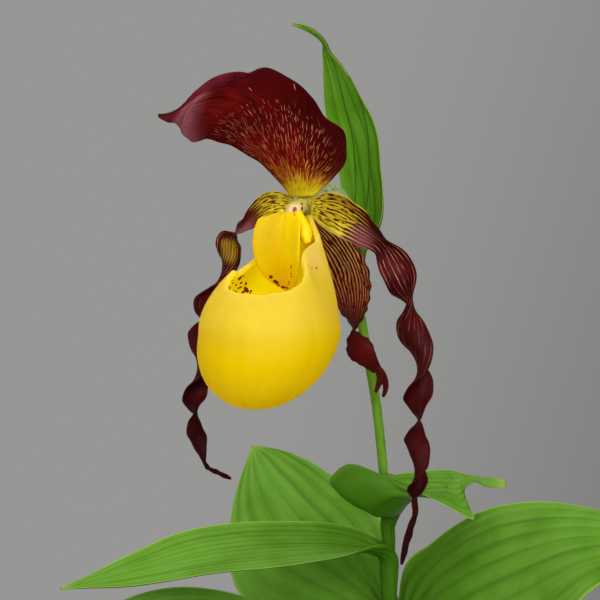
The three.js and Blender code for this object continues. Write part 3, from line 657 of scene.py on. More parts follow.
def sheet(rows, per=12, across=41):
    """Grid of a blade's middle surface through rows of five places across it."""
    path = trace(np.array(rows, float).reshape(len(rows), 15), 6)
    last = len(rows) - 1
    v = 2 + 2 * spacing(across)
    return np.array([trace(q.reshape(5, 3))(v) for q in path(np.linspace(0, last, last * per + 1))])


def facing(grid):
    """The way each point of a grid looks."""
    return unit(np.cross(np.gradient(grid, axis=1), np.gradient(grid, axis=0)))


def fractions(grid):
    """How far each point lies along the blade, 0 to 1, and across it, -1 to 1."""
    f = np.linspace(0, 1, grid.shape[0])[:, None]
    v = spacing(grid.shape[1])[None, :]
    return f + 0 * v, v + 0 * f


def thin_piece(name, grid, thick, finish, lift=0.0):
    """A thin blade with two faces that meet in a fine edge all round. lift raises the
    middle surface, in millimetres."""
    grid = grid + facing(grid) * (np.zeros(grid.shape[:2]) + lift)[..., None]
    f, v = fractions(grid)
    edge = np.minimum(1, 14 * np.minimum(f, 1 - f)) ** 0.5
    half = 0.5 * thick * (1 - np.abs(v) ** 10) ** 0.5 * edge
    half[[0, -1]] = 0
    out = facing(grid) * half[..., None]
    inside = np.zeros(f.shape, bool)
    inside[1:-1, 1:-1] = True
    index = np.arange(f.size).reshape(f.shape)
    below = index.copy()
    below[inside] = f.size + np.arange(inside.sum())

    def quads(of):
        return np.stack([of[:-1, :-1], of[:-1, 1:], of[1:, 1:], of[1:, :-1]], -1).reshape(-1, 4)

    over = quads(index)
    faces = np.concatenate([over, quads(below)[:, ::-1]])
    spread = np.stack([f, (v + 1) / 2], -1).reshape(-1, 2)
    return mesh_piece(name, np.concatenate([(grid + out).reshape(-1, 3), (grid - out)[inside]]),
                      faces.tolist(), finish, spread[np.concatenate([over, over[:, ::-1]])],
                      np.repeat([0.0, 1.0], len(over)))


def leaf_finish(name, veins, light, dark, shade, warm, grooves=()):
    """Leaf green, deeper near the stem: painted shade darkening the furrows and fine creases
    between the pleats, in the colour and in the light let through, fine streaks along the
    veins, a duller underside and a yellower margin and tip."""
    light, dark = np.array(light), np.array(dark)
    leaf = Finish(name, 0.45, 0.3, shine=0.1)
    place, spread = leaf.place(), leaf.place("UV")
    along, across, _ = spread.parts()
    streak = spread.stretched(5, 150).noise(1.0, 3, 0.6)
    mottle = place.noise(70, 3, 0.6) + along * 0.35 - 0.17
    fine = place.noise(900, 2, 0.6)
    uneven = spread.stretched(2, 14).noise(1.0).rise(0.3, 0.7, 0.2, 1.0)
    furrow = (1.0 - spread.vein_lines(veins, 0.02, 0.0)) * uneven
    crease = spread.vein_lines(3 * veins, 0.01, 0.0).fall(0.0, 0.5)
    tint = layers(
        dark, (mottle.rise(0.3, 0.7), light), (streak.rise(0.42, 0.68) * 0.3, 1.3 * light),
        (along.rise(0.2, 0.6, 0.55, 0.0), 0.6 * dark),
        # painted shade: the furrows and fine creases between the pleats darkened
        (furrow * 0.5 + crease * 0.12, 0.4 * dark),
        (across.off(0.5).rise(0.475, 0.495) * 0.7, warm), (along.rise(0.93, 1.0) * 0.5, warm),
        (leaf.under() * 0.75, shade))
    relief = streak * 0.6 + fine * 0.25 - furrow * 0.4
    for start, slope in grooves:
        # painted shade: each groove is darkened in colour, besides being sunk in the relief
        shaded_groove = (across - along * slope).band(start, 0.02)
        tint = mix(shaded_groove * 0.7, tint, 0.3 * dark)
        relief = relief - shaded_groove * 2.0
    # painted shade: the light let through is darker in the furrows too
    glow = mix(furrow * 0.5, (0.28, 0.54, 0.01), (0.08, 0.24, 0.004))
    return leaf.coat(tint, relief, 0.16, fine.rise(0.3, 0.7, 0.42, 0.54), glow)


def ends(f):
    """One along a blade, falling to nothing at its two ends."""
    return np.minimum(1, np.minimum(6 * f, 5 * (1 - f)))


def margin_waves(f, v, height, count):
    """Waves along both margins of a blade, out of step with each other."""
    return height * v * v * np.sin(2 * math.pi * count * f + np.where(v < 0, 1.7, 0))


def pleated(grid, folds, depth, wave, waves):
    """Relief of a leaf: pleats along it, finer ribs on them and a waved margin."""
    f, v = fractions(grid)
    fine = 0.1 * depth * np.abs(np.sin(math.pi * folds * 1.5 * (v + 1)))
    return ends(f) * (0.5 * depth * np.cos(math.pi * folds * (v + 1)) + fine +
                      margin_waves(f, v, wave, waves))


GREENS = ((0.12, 0.275, 0.026), (0.07, 0.195, 0.006), (0.042, 0.13, 0.004), (0.3, 0.44, 0.06))
leaf_green = leaf_finish("leaf_green", 12, *GREENS)
leaf_broad = leaf_finish("leaf_broad", 8, *GREENS)
sheath_green = leaf_finish("sheath_green", 12, (0.3, 0.4, 0.14), (0.2, 0.3, 0.08),
                           (0.22, 0.3, 0.1), (0.42, 0.4, 0.2))

BLADE_LEAVES = {
    "basal_sheath_1": (20, 99.6, 106, [(4.0, 110, 5.2, 90, 0), (5.2, 113.5, 1.2, 30, 0)]),
    "basal_sheath_2": (230, 115.5, 121, [(3.8, 124.5, 5.4, 90, 0), (5.2, 127.6, 1.4, 30, 0)]),
    "leaf_low_left": (214, 129.5, 136, [
        (4.2, 142, 8.3, 110, 0), (9, 148.5, 11, 62, 0), (23, 159.5, 18.5, 34, -2),
        (50, 173.5, 23, 20, -8), (74.5, 179.5, 21, 16, -10), (98, 179.5, 14.5, 16, -10),
        (110, 177.5, 8.5, 18, -8), (119, 175, 0.9, 20, -6)]),
    "leaf_left": (203.7, 174, 184, [
        (3.2, 188.5, 6.8, 120, 0), (7, 191.4, 8.4, 72, -4), (18, 194.2, 11.5, 34, -10),
        (33, 196, 13, 22, -14), (50, 197, 14.2, 16, -16), (66, 196.8, 13, 14, -16),
        (81, 195, 9.4, 14, -16), (94, 193.6, 5.8, 16, -14), (103, 192.8, 2.8, 20, -12),
        (109.5, 192.4, 0.7, 20, -12)]),
}
DRAWN_LEAVES = {
    "leaf_right": (-39, 144.5, 149.5, (4, 154, 8, 108, 20), [
        [(5.3, 6, 182.5), (8, -8, 167), (5, -24, 161)],
        [(13.5, 0, 193.5), (14, -15, 180), (14, -35, 164)],
        [(21, -8, 202.5), (22, -24, 189.5), (25, -45, 168.5)],
        [(30, -17, 209.5), (31, -34, 198), (36, -54, 177)],
        [(41, -26, 213.5), (40.5, -44, 205), (46, -62, 188)],
        [(51.5, -36, 216), (50, -54, 210.5), (53, -67, 198.5)],
        [(60, -47, 217), (59, -62, 213), (60, -71, 205.5)],
        [(67.5, -58, 216), (66.5, -68, 213), (66.5, -73, 209)],
        [(74.7, -72.6, 211.9), (74.5, -73, 211.5), (74.3, -73.4, 211)]]),
    "leaf_back": (131, 158, 166, (3.8, 170, 7.4, 108, 20), [
        [(-12, -5, 167.5), (-5.5, 8, 174.5), (-0.5, 19, 180.5)],
        [(-21.5, 5, 165.5), (-10.5, 17, 178.5), (0, 33, 184.5)],
        [(-33, 15, 163), (-17, 25.5, 182.5), (-1, 46, 188.5)],
        [(-42.5, 24, 162.5), (-23, 35, 186), (-5, 57, 191.5)],
        [(-50, 33, 166.5), (-29.5, 44, 190), (-11.5, 65, 194.5)],
        [(-53.5, 41, 174), (-35, 52, 195), (-19.5, 70, 199)],
        [(-54, 49, 184), (-40, 58, 200.5), (-27.5, 70, 204.5)],
        [(-52, 56, 195.5), (-43.5, 62, 206), (-35.5, 68, 208.5)],
        [(-46.8, 63, 210.2), (-46.4, 63.4, 211), (-46, 63.8, 211.2)]]),
}
UPPER_LEAF = [
    [(2.6, 3, 210.5), (4, 0, 208.5), (3.5, -5, 206), (-4, -8.8, 205), (-11.5, -6.5, 209)],
    [(1, -3.8, 214.2), (4.8, -4, 212), (5.8, -8, 210), (-4.5, -13.5, 209), (-20, -9.5, 216.5)],
    [(-10.5, -6, 218.2), (2, -5.5, 215.5), (8.5, -9, 213), (0, -17, 213), (-14, -11, 222.5)],
    [(-1, -4.5, 217.4), (8, -4.5, 216), (12.5, -10, 214.5), (6, -18, 214), (-4.5, -15, 220.5)],
    [(9, -2.5, 217.8), (14.5, -6, 216.5), (17, -12, 215), (11.5, -19, 214), (4, -20, 217)],
    [(16.5, -3, 218.7), (17.7, -8, 216.8), (17.5, -14, 215.2), (16.2, -20, 214), (14, -23, 213)],
    [(19, -5, 219), (19.4, -10, 217.3), (19.1, -15, 215.3), (18.8, -20, 213), (19.8, -24, 210.2)],
    [(20.7, -7, 218.8), (20.9, -10.5, 217.6), (20.9, -14.5, 215.7), (21.4, -19, 212.9),
     (24.6, -23, 207.9)],
    [(22.5, -9, 218.9), (22.5, -10.5, 217.8), (22.2, -13, 217.2), (22.1, -15, 216),
     (21.7, -17.5, 214.5)],
    [(25.5, -11, 218.7), (25.2, -12, 218.4), (24.9, -13, 218.1), (24.8, -14, 217.8),
     (24.7, -15, 217.5)],
    [(30, -12.5, 218.5), (29.9, -13.2, 217.8), (29.9, -13.8, 217.2), (29.8, -14.4, 216.6),
     (29.7, -15, 216.1)],
    [(35.3, -14, 218.4), (35.3, -14.4, 217.9), (35.4, -14.9, 217.4), (35.3, -15.4, 216.8),
     (35.2, -15.8, 216.3)],
]

for name, (azimuth, start, end, rows) in BLADE_LEAVES.items():
    c, s = direction(azimuth)
    grid = blade(sheath_rows(start, end, azimuth) + outward(azimuth, rows), (-0.3 * c, -0.3 * s, 1))
    if "sheath" in name:
        fit(thin_piece(name + "_blade", grid, THIN_BLADE, sheath_green), name)
    else:
        leaf = thin_piece(name + "_blade", grid, FULL_BLADE, leaf_green,
                          pleated(grid, folds=8, depth=0.45, wave=0.5, waves=3))
        fit(leaf, name)
for name, (azimuth, start, end, opening, rows) in DRAWN_LEAVES.items():
    grid = sheet(sheath_guides(start, end, azimuth, opening) + [five(row) for row in rows],
                 per=10, across=65)
    leaf = thin_piece(name + "_blade", grid, FULL_BLADE, leaf_broad,
                      pleated(grid, folds=8, depth=0.7, wave=0.5, waves=3))
    fit(leaf, name)
grid = sheet(sheath_guides(191, 199, -31, (2.8, 202.8, 7.6, 122, 15)) + UPPER_LEAF,
             per=12, across=49)
leaf = thin_piece("leaf_upper_blade", grid, THIN_BLADE, leaf_broad,
                  pleated(grid, folds=7, depth=0.35, wave=0.2, waves=4))
fit(leaf, "leaf_upper")

# ------------------------------------------------------------------- bract
# The leafy bract: a small upright leaf that wraps the top of the stem, stands up
# behind the flower and ends in a thin yellow-green tail.
BRACT = [
    (-10.1, 2.2, 278, 6.6, 140, 0), (-10.4, 2.9, 284, 8, 130, 0), (-9.6, 4.3, 290, 8.8, 95, 0),
    (-7.6, 5.6, 298, 9.4, 54, 0), (-7.6, 7.2, 306, 9, 40, 0), (-8.8, 8.2, 314, 8.7, 28, 0),
    (-10.3, 8.5, 323.5, 9.2, 24, 0), (-13.5, 8, 333, 8.4, 24, 0), (-15.8, 6, 340, 6.6, 26, 0),
    (-18, 4, 345.5, 4.4, 30, 0), (-20.4, 1.8, 350.5, 1.9, 30, 0), (-21.5, -0.5, 353.5, 0.8, 20, 0),
    (-24.4, -3, 356.4, 0.9, 10, 0), (-27.5, -5, 358.1, 0.8, 10, 0), (-31.4, -7, 359.1, 0.5, 0, 0),
]
bract_green = leaf_finish("bract_green", 9, (0.125, 0.31, 0.018), (0.085, 0.23, 0.004),
                          (0.06, 0.15, 0.015), (0.36, 0.42, 0.06), ((0.05, 0.75), (0.11, 1.45)))
grid = blade(BRACT, face=(-0.6, -0.8, 0), per=14, across=41)
bract = thin_piece("bract_blade", grid, THIN_BLADE, bract_green,
                   pleated(grid, folds=4, depth=0.5, wave=0.1, waves=3))
fit(bract, "bract")

# ------------------------------------------------------------------- ovary
# The curved ovary below the flower: pale green, ribbed and thick with soft down.
FLOWER_AT = np.array([-28.5, -28, 305])
FLOWER_TURN = -33 * RAD


def in_flower(points):
    """Places in the flower's own axes (-Y forward) set where the flower stands."""
    c, s = math.cos(FLOWER_TURN), math.sin(FLOWER_TURN)
    x, y, z = np.moveaxis(np.asarray(points, float), -1, 0)
    return np.stack([c * x - s * y, s * x + c * y, z], -1) + FLOWER_AT


OVARY = [
    (-1.9, 32, -20.3, 1.7), (-2.3, 31.8, -15.5, 2.4), (-2, 29, -8, 3.2), (-1, 23, -1, 3.4),
    (0, 14.5, 2.8, 3.3), (0.3, 7.5, 1.4, 3.1), (0.3, 3.6, 0.5, 3), (0.3, 1.1, 0.4, 3.7),
]
downy = Finish("ovary_down", 0.7, 0.1, shine=0.15)
fleck = downy.place().noise(700, 3, 0.7)
throat = downy.place().spots([(*FLOWER_AT, 7)], 0.5)
tint = layers((0.17, 0.24, 0.08), (fleck.rise(0.35, 0.65), (0.42, 0.46, 0.27)),
              (throat * 0.9, (0.4, 0.36, 0.02)))
ovary_rings = [in_flower(ring) for ring in rod(OVARY, sides=36, per=12, ribs=6, rib=0.05)]
ovary = mesh_piece("ovary_stalk", *closed_skin(ovary_rings), downy.coat(tint, fleck, 0.25))
fit(ovary, "ovary")
ovary_hairs = scatter("ovary_hairs", ovary, hairs, down_finish, sizes=(0.5, 0.9), tilt=0.6,
                      seed=21, density=7e6)
fit(ovary_hairs, "ovary")

# ------------------------------------------------------------------- sepals
# The broad upper sepal leans forward over the flower like a hood. Its inner face is
# yellow and dotted at the base, then wine red with broken gold dashes along the veins,
# mauve towards the tip, that mauve partly real and partly a painted sheen, with a
# dusky painted sheen on one side towards the tip. The two lower sepals have grown
# together into one striped, twisted strip with two small free tips.
DORSAL = [
    [(-2.9, -1.9, 3), (0.4, -1.1, 3.1), (3.7, 0, 3.4)],
    [(-4, -3.5, 5.5), (0, -1.5, 5.7), (6, 3, 6)],
    [(-5, -7.5, 9), (-1, -4, 9.5), (8, 5.5, 9)],
    [(-6.5, -12, 13), (-1.5, -7, 14), (10, 8, 12.5)],
    [(-7.5, -18, 16), (-2, -12, 19.5), (10.5, 8.5, 17)],
    [(-8.5, -24.5, 19), (-2.5, -16.5, 24), (10.5, 6.5, 22.5)],
    [(-9, -29.5, 20), (-2.5, -21.5, 28.5), (7.2, 1, 26.5)],
    [(-9.5, -34, 21), (-4, -27, 31), (5.6, -3.5, 32.5)],
    [(-10.5, -37, 20.5), (-7, -32, 32.5), (3.8, -11, 37.6)],
    [(-11.5, -39.5, 20.5), (-9, -35.5, 32), (0.5, -20, 41)],
    [(-12, -41, 21.5), (-10, -37.5, 31.5), (-1.5, -23, 39.5)],
    [(-12.5, -42, 22.5), (-10.5, -39, 31), (-3.5, -27.5, 40)],
    [(-12.5, -42.5, 24), (-11.5, -40.5, 30), (-7.5, -33.5, 38.5)],
    [(-13, -44, 25.5), (-12, -42, 29), (-10.5, -38, 35)],
    [(-14.5, -46, 26), (-14, -45, 28), (-12.5, -42.5, 30)],
    [(-16, -48.5, 27.5), (-16, -48.5, 28), (-16, -48.5, 28.5)],
]
SEPAL_THICK, PETAL_THICK, SHIELD_THICK = 0.6, 0.55, 0.9
hood = Finish("hood_maroon", 0.5, 0.15, shine=0.03)
along, across, _ = hood.place("UV").parts()
aside = across.off(0.5)
fan = across - along * (across * 0.9 - 0.05)
broad = hood.place().noise(80, 3)
fine = hood.place().noise(1100)
long_veins = along.beside(fan).vein_lines(15, 0.02, 0.55)
dashes = (along * 13).beside(fan * 120).noise(1.0, 1.5, 0.55)
fine_dashes = (along * 26).beside(fan * 170).noise(1.0, 1)
flame = (along * 7).beside(fan * 44).noise(1.0, 3, 0.65)
wine = layers(
    (0.058, 0.0006, 0.0008), (broad.rise(0.35, 0.65), (0.095, 0.0014, 0.0012)),
    (along.rise(0.15, 0.45, 0.7, 0.0), (0.15, 0.003, 0.002)),
    (aside.rise(0.26, 0.5) * 0.75, (0.038, 0.0006, 0.001)),
    (across.rise(0.6, 0.85) * along.rise(0.4, 0.6, 0.7, 0.0), (0.024, 0.0005, 0.0007)),
    # painted sheen: a dusky, greyer wine on one side towards the tip
    (along.rise(0.5, 0.75) * across.rise(0.6, 0.85) * 0.8, (0.085, 0.007, 0.013)),
    (long_veins * 0.25, (0.03, 0.0008, 0.001)))
reach = (along + broad * 0.1).fall(0.12, 0.62) * across.rise(0.74, 0.94, 1.0, 0.1)
reach = reach * across.rise(0.0, 0.1)
streak = (dashes + reach * 0.12).rise(0.73, 0.77)
fleck = (fine_dashes + along.rise(0.3, 0.6, 0.13, 0.03)).rise(0.715, 0.775) * reach.rise(0.02, 0.25)
gold = mix(along.rise(0.14, 0.36), (0.52, 0.2, 0.02), (0.52, 0.18, 0.1))
ember = (along - flame * 0.22 + aside * 0.16).fall(0.02, 0.11)
base = (along - flame * 0.16 + aside * 0.1).fall(0.0, 0.07)
specks = (along * 70).beside(fan * 60).noise(1.0, 1).rise(0.56, 0.61) * along.rise(0.02, 0.05)
dark_veins = [fan.band(at, 0.008) * along.rise(0.1, 0.2) * along.rise(0.42, 0.6, 0.85, 0.3)
              for at in (0.362, 0.584)]
# mauve towards the tip: partly real colour, partly a painted sheen where the margin curls to the light
mauve = (along - across * 0.25).rise(0.44, 0.62) * across.fall(0.6, 0.78)
mauve = mauve * along.fall(0.87, 0.93) * broad.rise(0.3, 0.6, 0.6, 1.0)
tint = layers(
    wine, (fleck * 0.5, gold), (streak * 0.95, gold),
    (ember, mix(dashes.rise(0.5, 0.56), (0.12, 0.008, 0.003), (0.5, 0.22, 0.012))),
    (base, mix(specks * 0.85, (0.42, 0.31, 0.004), (0.12, 0.02, 0.004))),
    *[(dark_vein, (0.02, 0.0008, 0.001)) for dark_vein in dark_veins],
    (mauve * 0.75, (0.2, 0.06, 0.075)), (along.rise(0.87, 0.95) * 0.8, (0.05, 0.005, 0.006)),
    (hood.under() * 0.6, (0.06, 0.003, 0.006)))
relief = dashes * 0.3 + fine * 0.25 - long_veins * 0.2
hood_finish = hood.coat(tint, relief, 0.14, fine.rise(0.3, 0.7, 0.42, 0.56),
                        mix(0.5, tint, (0.3, 0.008, 0.005)))
grid = in_flower(sheet([five(row) for row in DORSAL], per=14, across=81))
f, v = fractions(grid)
ripple = ends(f) * (margin_waves(f, v, 0.5, 3) + 0.03 * np.cos(13 * math.pi * (v + 1)) -
                    0.35 * np.exp(-(v / 0.04) ** 2) - 0.25 * np.exp(-((v - 0.37) / 0.04) ** 2))
dorsal = thin_piece("dorsal_sepal_blade", grid, SEPAL_THICK, hood_finish, ripple)
fit(dorsal, "dorsal_sepal")

SYNSEPAL = [
    (1, 1.9, -4.4, 2.4, 10, 0), (3.2, 6.5, -8.5, 6.6, 14, 0), (5.2, 12.5, -15.5, 9.2, 18, 0),
    (5.8, 17.5, -23.5, 9.2, 20, 0), (5.4, 20, -30.5, 7.2, 22, 8), (5, 21.5, -36.5, 5, 24, 30),
    (4.8, 22.5, -41.5, 4.2, 20, 80), (6, 24.5, -46, 4.4, 20, 140), (8, 26.5, -50, 2.8, 20, 165),
    (10, 28, -52.8, 1.7, 0, 180),
]
SYNSEPAL_TIPS = [
    [(9.6, 27.6, -51.6, 1.0, 0, 0), (10.4, 28.9, -55.5, 1.2, 0, 0), (9.6, 29, -58, 0.9, 0, 0),
     (9, 28.5, -60, 0.5, 0, 0)],
    [(9.9, 27.8, -51.6, 1.0, 0, 0), (11.6, 29.8, -56, 1.2, 0, 0), (11.6, 30.3, -59, 0.9, 0, 0),
     (10.8, 30, -61.5, 0.5, 0, 0)],
]


def striped_finish(name, stripes, wine, dark, gold, thin, broken, reach):
    """Sepal or petal maroon with gold stripes along the veins: how many, how thin, how
    broken, and the shares of the length where they fade in and out."""
    silk = Finish(name, 0.5, 0.15, shine=0.05)
    spread = silk.place("UV")
    along, across, _ = spread.parts()
    lines = spread.vein_lines(stripes, 0.13, thin)
    breaks = spread.stretched(22, 30).noise(1.0, 2, 0.6)
    fine = silk.place().noise(1100)
    mask = lines * breaks.rise(broken - 0.05, broken + 0.06)
    mask = mask * along.rise(*reach[:2]) * along.fall(*reach[2:])
    tint = layers(dark, (silk.place().noise(110).rise(0.35, 0.65), wine),
                  (mask, mix(along.rise(0.1, 0.5), *gold)))
    return silk, tint, fine * 0.3 + lines * 0.5, fine, along, across


silk, tint, relief, fine, along, across = striped_finish(
    "synsepal_striped", 14, (0.085, 0.0035, 0.0025), (0.04, 0.0015, 0.001),
    ((0.66, 0.36, 0.09), (0.42, 0.12, 0.045)), 0.6, 0.42, (0.0, 0.04, 0.36, 0.6))
tint = mix(across.off(0.5).rise(0.42, 0.49) * 0.75, tint, (0.04, 0.0015, 0.001))
synsepal_finish = silk.coat(tint, relief, 0.14, fine.rise(0.3, 0.7, 0.38, 0.5))
grid = in_flower(blade(SYNSEPAL, face=(0, -1, 0.1), per=18, across=49))
f, v = fractions(grid)
ripple = ends(f) * (margin_waves(f, v, 0.4, 3) + 0.3 * np.abs(v) ** 6 * np.sin(34 * math.pi * f) +
                    0.05 * np.abs(np.sin(7 * math.pi * v)))
synsepal = thin_piece("synsepal_blade", grid, SEPAL_THICK, synsepal_finish, ripple)
fit(synsepal, "synsepal")
tail = Finish("synsepal_tail", 0.5, 0.15, shine=0.05)
grain = tail.place().noise(600)
tail_finish = tail.coat(mix(grain, (0.035, 0.0015, 0.001), (0.085, 0.01, 0.005)), grain, 0.1)
for number, rows in enumerate(SYNSEPAL_TIPS):
    grid = in_flower(blade(rows, face=(0, -1, 0.1), per=10, across=13))
    tip = thin_piece(f"synsepal_tip_{number + 1}", grid, FULL_BLADE, tail_finish)
    fit(tip, "synsepal")

# ------------------------------------------------------------------- petals
# Two long narrow petals that hang beside the pouch, each twisted like a corkscrew.
# Yellow green with rows of dark dashes near the flower, then wine red with pale gold
# streaks, and shrivelled, almost black, at the tail.
PETALS = {
    "petal_right": [
        (3.2, 0, 0.2, 2.6, 8, 0), (7, 0.3, -0.3, 4.8, 14, 0), (15, -1, -2, 6, 20, 0),
        (21.5, 0, -5.5, 5.4, 30, 5), (27.5, 1, -9.5, 4.2, 50, 20), (32.5, 0.5, -16.5, 5.5, 45, -30),
        (37, 1.5, -26, 5, 46, 57), (37.5, 1.5, -34.5, 5.3, 48, 140), (39, 1.5, -45, 5.2, 62, 237),
        (39, 1.5, -52.5, 4.6, 40, 327), (39.5, 1.5, -60, 3.3, 14, 417), (39, 1.5, -67, 4, 44, 500),
        (38.5, 1.5, -75.5, 4.3, 75, 597), (39, 1.5, -80, 3.3, 60, 680), (39, 1.5, -84, 2.6, 75, 777),
        (39, 2, -88, 1.9, 60, 800), (37.5, 2, -92.5, 1.7, 50, 820), (36, 1.5, -97.5, 1.3, 40, 840),
        (34.5, 1, -104.5, 0.5, 0, 860)],
    "petal_left": [
        (-3.2, -0.3, 0.2, 2.6, 8, 0), (-9.5, -1.5, 0, 4.4, 18, 0), (-14.5, -2, -2.8, 3.8, 25, 10),
        (-19, -2, -6.6, 2.8, 35, 30), (-24, -3, -10.5, 4.3, 45, 105), (-24.5, -3, -15.5, 4.2, 50, 147),
        (-27.5, -3.5, -22.5, 3.4, 60, 237), (-30.5, -5.5, -29.5, 4.5, 45, 327),
        (-31.5, -6, -36.5, 4.4, 55, 417), (-33, -7, -43, 4.4, 45, 507), (-33.5, -7.5, -51.5, 4, 60, 597),
        (-34.5, -8, -59.5, 4.2, 45, 687), (-34, -7.5, -65.5, 3.4, 60, 777),
        (-34, -7.5, -72.5, 3.2, 45, 860), (-32.5, -7, -80, 2, 60, 940), (-31.5, -6, -82.5, 1.3, 40, 980),
        (-28.5, -4.5, -84, 1.1, 20, 1000), (-25, -2, -86, 0.5, 0, 1020)],
}


def petal_finish(name, golden):
    """Yellow green near the flower, then maroon with streaks; golden is how far along the
    petal its middle is still gold between dark margins."""
    silk, tint, relief, fine, along, across = striped_finish(
        name, 7, (0.058, 0.003, 0.0035), (0.028, 0.0012, 0.002),
        ((0.42, 0.14, 0.09), (0.36, 0.1, 0.055)), 0.82, 0.54, (0.16, 0.24, 0.27, 0.5))
    side = 1.0 - across if golden else across
    spread = silk.place("UV")
    cloud = spread.stretched(9, 3).noise(1.0)
    dash_rows = spread.vein_lines(10, 0.06, 0.35)
    dash = spread.stretched(44, 24).noise(1.0, 1)
    margin = side.fall(*((0.4, 1.2) if golden else (0.1, 0.42))) * along.rise(0.06, 0.14)
    flecks = (dash + dash_rows * 0.14).rise(0.6, 0.65) * along.rise(0.0, 0.02)
    near = layers(
        (0.4, 0.3, 0.01), (cloud.rise(0.35, 0.65), (0.56, 0.42, 0.018)),
        (margin * spread.vein_lines(9, 0.05, 0.2) * 0.95, (0.1, 0.01, 0.004)),
        (side.rise(0.86, 0.97) * 0.7, (0.55, 0.42, 0.08)),
        (flecks * side.rise(0.8, 0.95, 1.0, 0.2), (0.07, 0.008, 0.003)))
    limit = 0.165 if golden else 0.195
    far = (along + cloud * 0.08 + dash_rows * 0.035).rise(limit, limit + 0.025)
    fold = along.band(0.17, 0.05) * side.rise(0.2, 0.6)
    tint = layers(near, (far, tint),
                  (fold * dash_rows.rise(0.0, 1.0, 0.9, 0.3), (0.28, 0.085, 0.085)))
    if golden:
        middle = across.off(0.5).fall(0.16, 0.4) * along.band(golden, 0.055).rise(0.0, 0.6)
        tint = mix(middle * dash_rows.rise(0.0, 1.0, 1.0, 0.35), tint, (0.3, 0.19, 0.012))
    tint = mix(along.rise(0.62, 0.95), tint, (0.018, 0.0015, 0.002))
    return silk.coat(tint, relief, 0.14, fine.rise(0.3, 0.7, 0.42, 0.56))


petal_looks = {"petal_right": petal_finish("petal_maroon", None),
               "petal_left": petal_finish("petal_golden", 0.275)}
for name, rows in PETALS.items():
    grid = in_flower(blade(rows, face=(0, -1, 0), per=14, across=25))
    f, v = fractions(grid)
    ripple = np.minimum(1, 8 * f) * (0.25 * np.abs(v) ** 3 * np.sin(40 * math.pi * f + 2 * v) +
                                     0.05 * np.abs(np.sin(4.5 * math.pi * v)))
    petal = thin_piece(name + "_ribbon", grid, PETAL_THICK, petal_looks[name], ripple)
    fit(petal, name)

# ---------------------------------------------------------------------- lip
# The pouch: an egg-shaped waxy bag whose mouth rises to the back and whose rim is
# rolled inward. Clear yellow, paler towards the rim, with faint furrows, and freckled
# with dark red inside. Light is painted in too: a lighter top with a painted highlight
# on the upper left, a painted pale highlight along the rolled rim, and an inside painted
# much lighter, also in the light it lets through, for light glowing through the wall.
LIP_AHEAD, LIP_DROP, LIP_R, LIP_DEPTH, LIP_LEAN, LIP_WALL = 17.6, 36, 20.8, 20.8, 7.4, 1.0
RIM = [
    (0, 17.2, -4), (15, 16.8, -5), (30, 15.8, -9.2), (45, 14.4, -14.2), (60, 13.2, -16.2),
    (75, 12.3, -17.8), (90, 11.8, -18.7), (105, 11.8, -18.3), (120, 12.6, -19.8),
    (135, 13.4, -21.6), (150, 13.9, -22.4), (165, 14.2, -22.8), (180, 14.2, -22.9),
    (195, 14.3, -22.9), (210, 14.5, -22.8), (225, 15, -22.3), (240, 15.5, -21.5),
    (255, 15, -19.8), (270, 13.3, -16.8), (280, 11.7, -14.6), (290, 11.2, -12.3),
    (297, 12, -10.9), (304, 14.5, -9.2), (315, 14.7, -6.8), (330, 14.7, -3.8), (345, 16.5, -2.4),
]
AROUND = 216


def round_rim(angle):
    """Radius and height of the rim at an angle from the back, going round by the left."""
    laps = np.array([(a + lap, r, z) for lap in (-360, 0, 360) for a, r, z in RIM])
    i = np.searchsorted(laps[:, 0], angle, side="right") - 1
    a, b, c, d = laps[i - 1:i + 3]
    f = (angle - b[0]) / (c[0] - b[0])
    start = (c - a) / (c[0] - a[0]) * (c[0] - b[0])
    end = (d - b) / (d[0] - b[0]) * (c[0] - b[0])
    smooth = b + f * start + f * f * (3 * (c - b) - 2 * start - end) + f ** 3 * (
        2 * (b - c) + start + end)
    return smooth[1:]


columns = []
for j in range(AROUND):
    share = j / AROUND
    turn = 2 * math.pi * share - math.pi
    r, z = round_rim(360 * share)
    front = 0.5 * (1 + math.cos(turn))
    z += 0.28 * math.sin(9 * turn + 1) * math.sin(4 * turn) * (0.4 + 0.6 * front)

    def wall(inset, steps):
        size = LIP_R - inset
        rows = [(size * math.cos(e * RAD), -LIP_DROP - (LIP_DEPTH - inset) * math.sin(e * RAD),
                 LIP_LEAN * math.sin(e * RAD)) for e in (78, 62, 46, 31, 15, 0)]
        swell = 2.2 - 0.6 * max(0, math.sin(turn))
        return rows + [(size - (size - r + inset) * h ** swell, -LIP_DROP + h * (z + LIP_DROP), 0)
                       for h in steps]

    levels = (0.2, 0.4, 0.58, 0.74, 0.88)
    rolled = ((-0.4, 0.4), (-1, 0.3), (-1.4, -0.4), (-1.3, -1))
    profile = [(0, -LIP_DROP - LIP_DEPTH, LIP_LEAN), *wall(0, (*levels, 1)),
               *[(r + dr, z + dz, 0) for dr, dz in rolled], *wall(LIP_WALL, levels)[::-1],
               (0, -LIP_DROP - LIP_DEPTH + LIP_WALL, LIP_LEAN)]
    steps = np.linspace(0, len(profile) - 1, 5 * (len(profile) - 1) + 1)
    radius, level, lean = trace(profile)(steps).T
    low = np.clip((-level - 22) / 12, 0, 1)
    furrow = sum(math.exp(-((math.degrees(turn) - at) / 5) ** 2) for at in (-52, -14, 8, 33, 74))
    radius = radius - 0.28 * furrow * low * np.minimum(1, radius / 12)
    columns.append(np.stack([radius * math.sin(turn), -LIP_AHEAD - lean - radius * math.cos(turn),
                             level], 1))
columns = in_flower(columns)
lip_rings = [columns[:1, 0], *columns.swapaxes(0, 1)[1:-1], columns[:1, -1]]

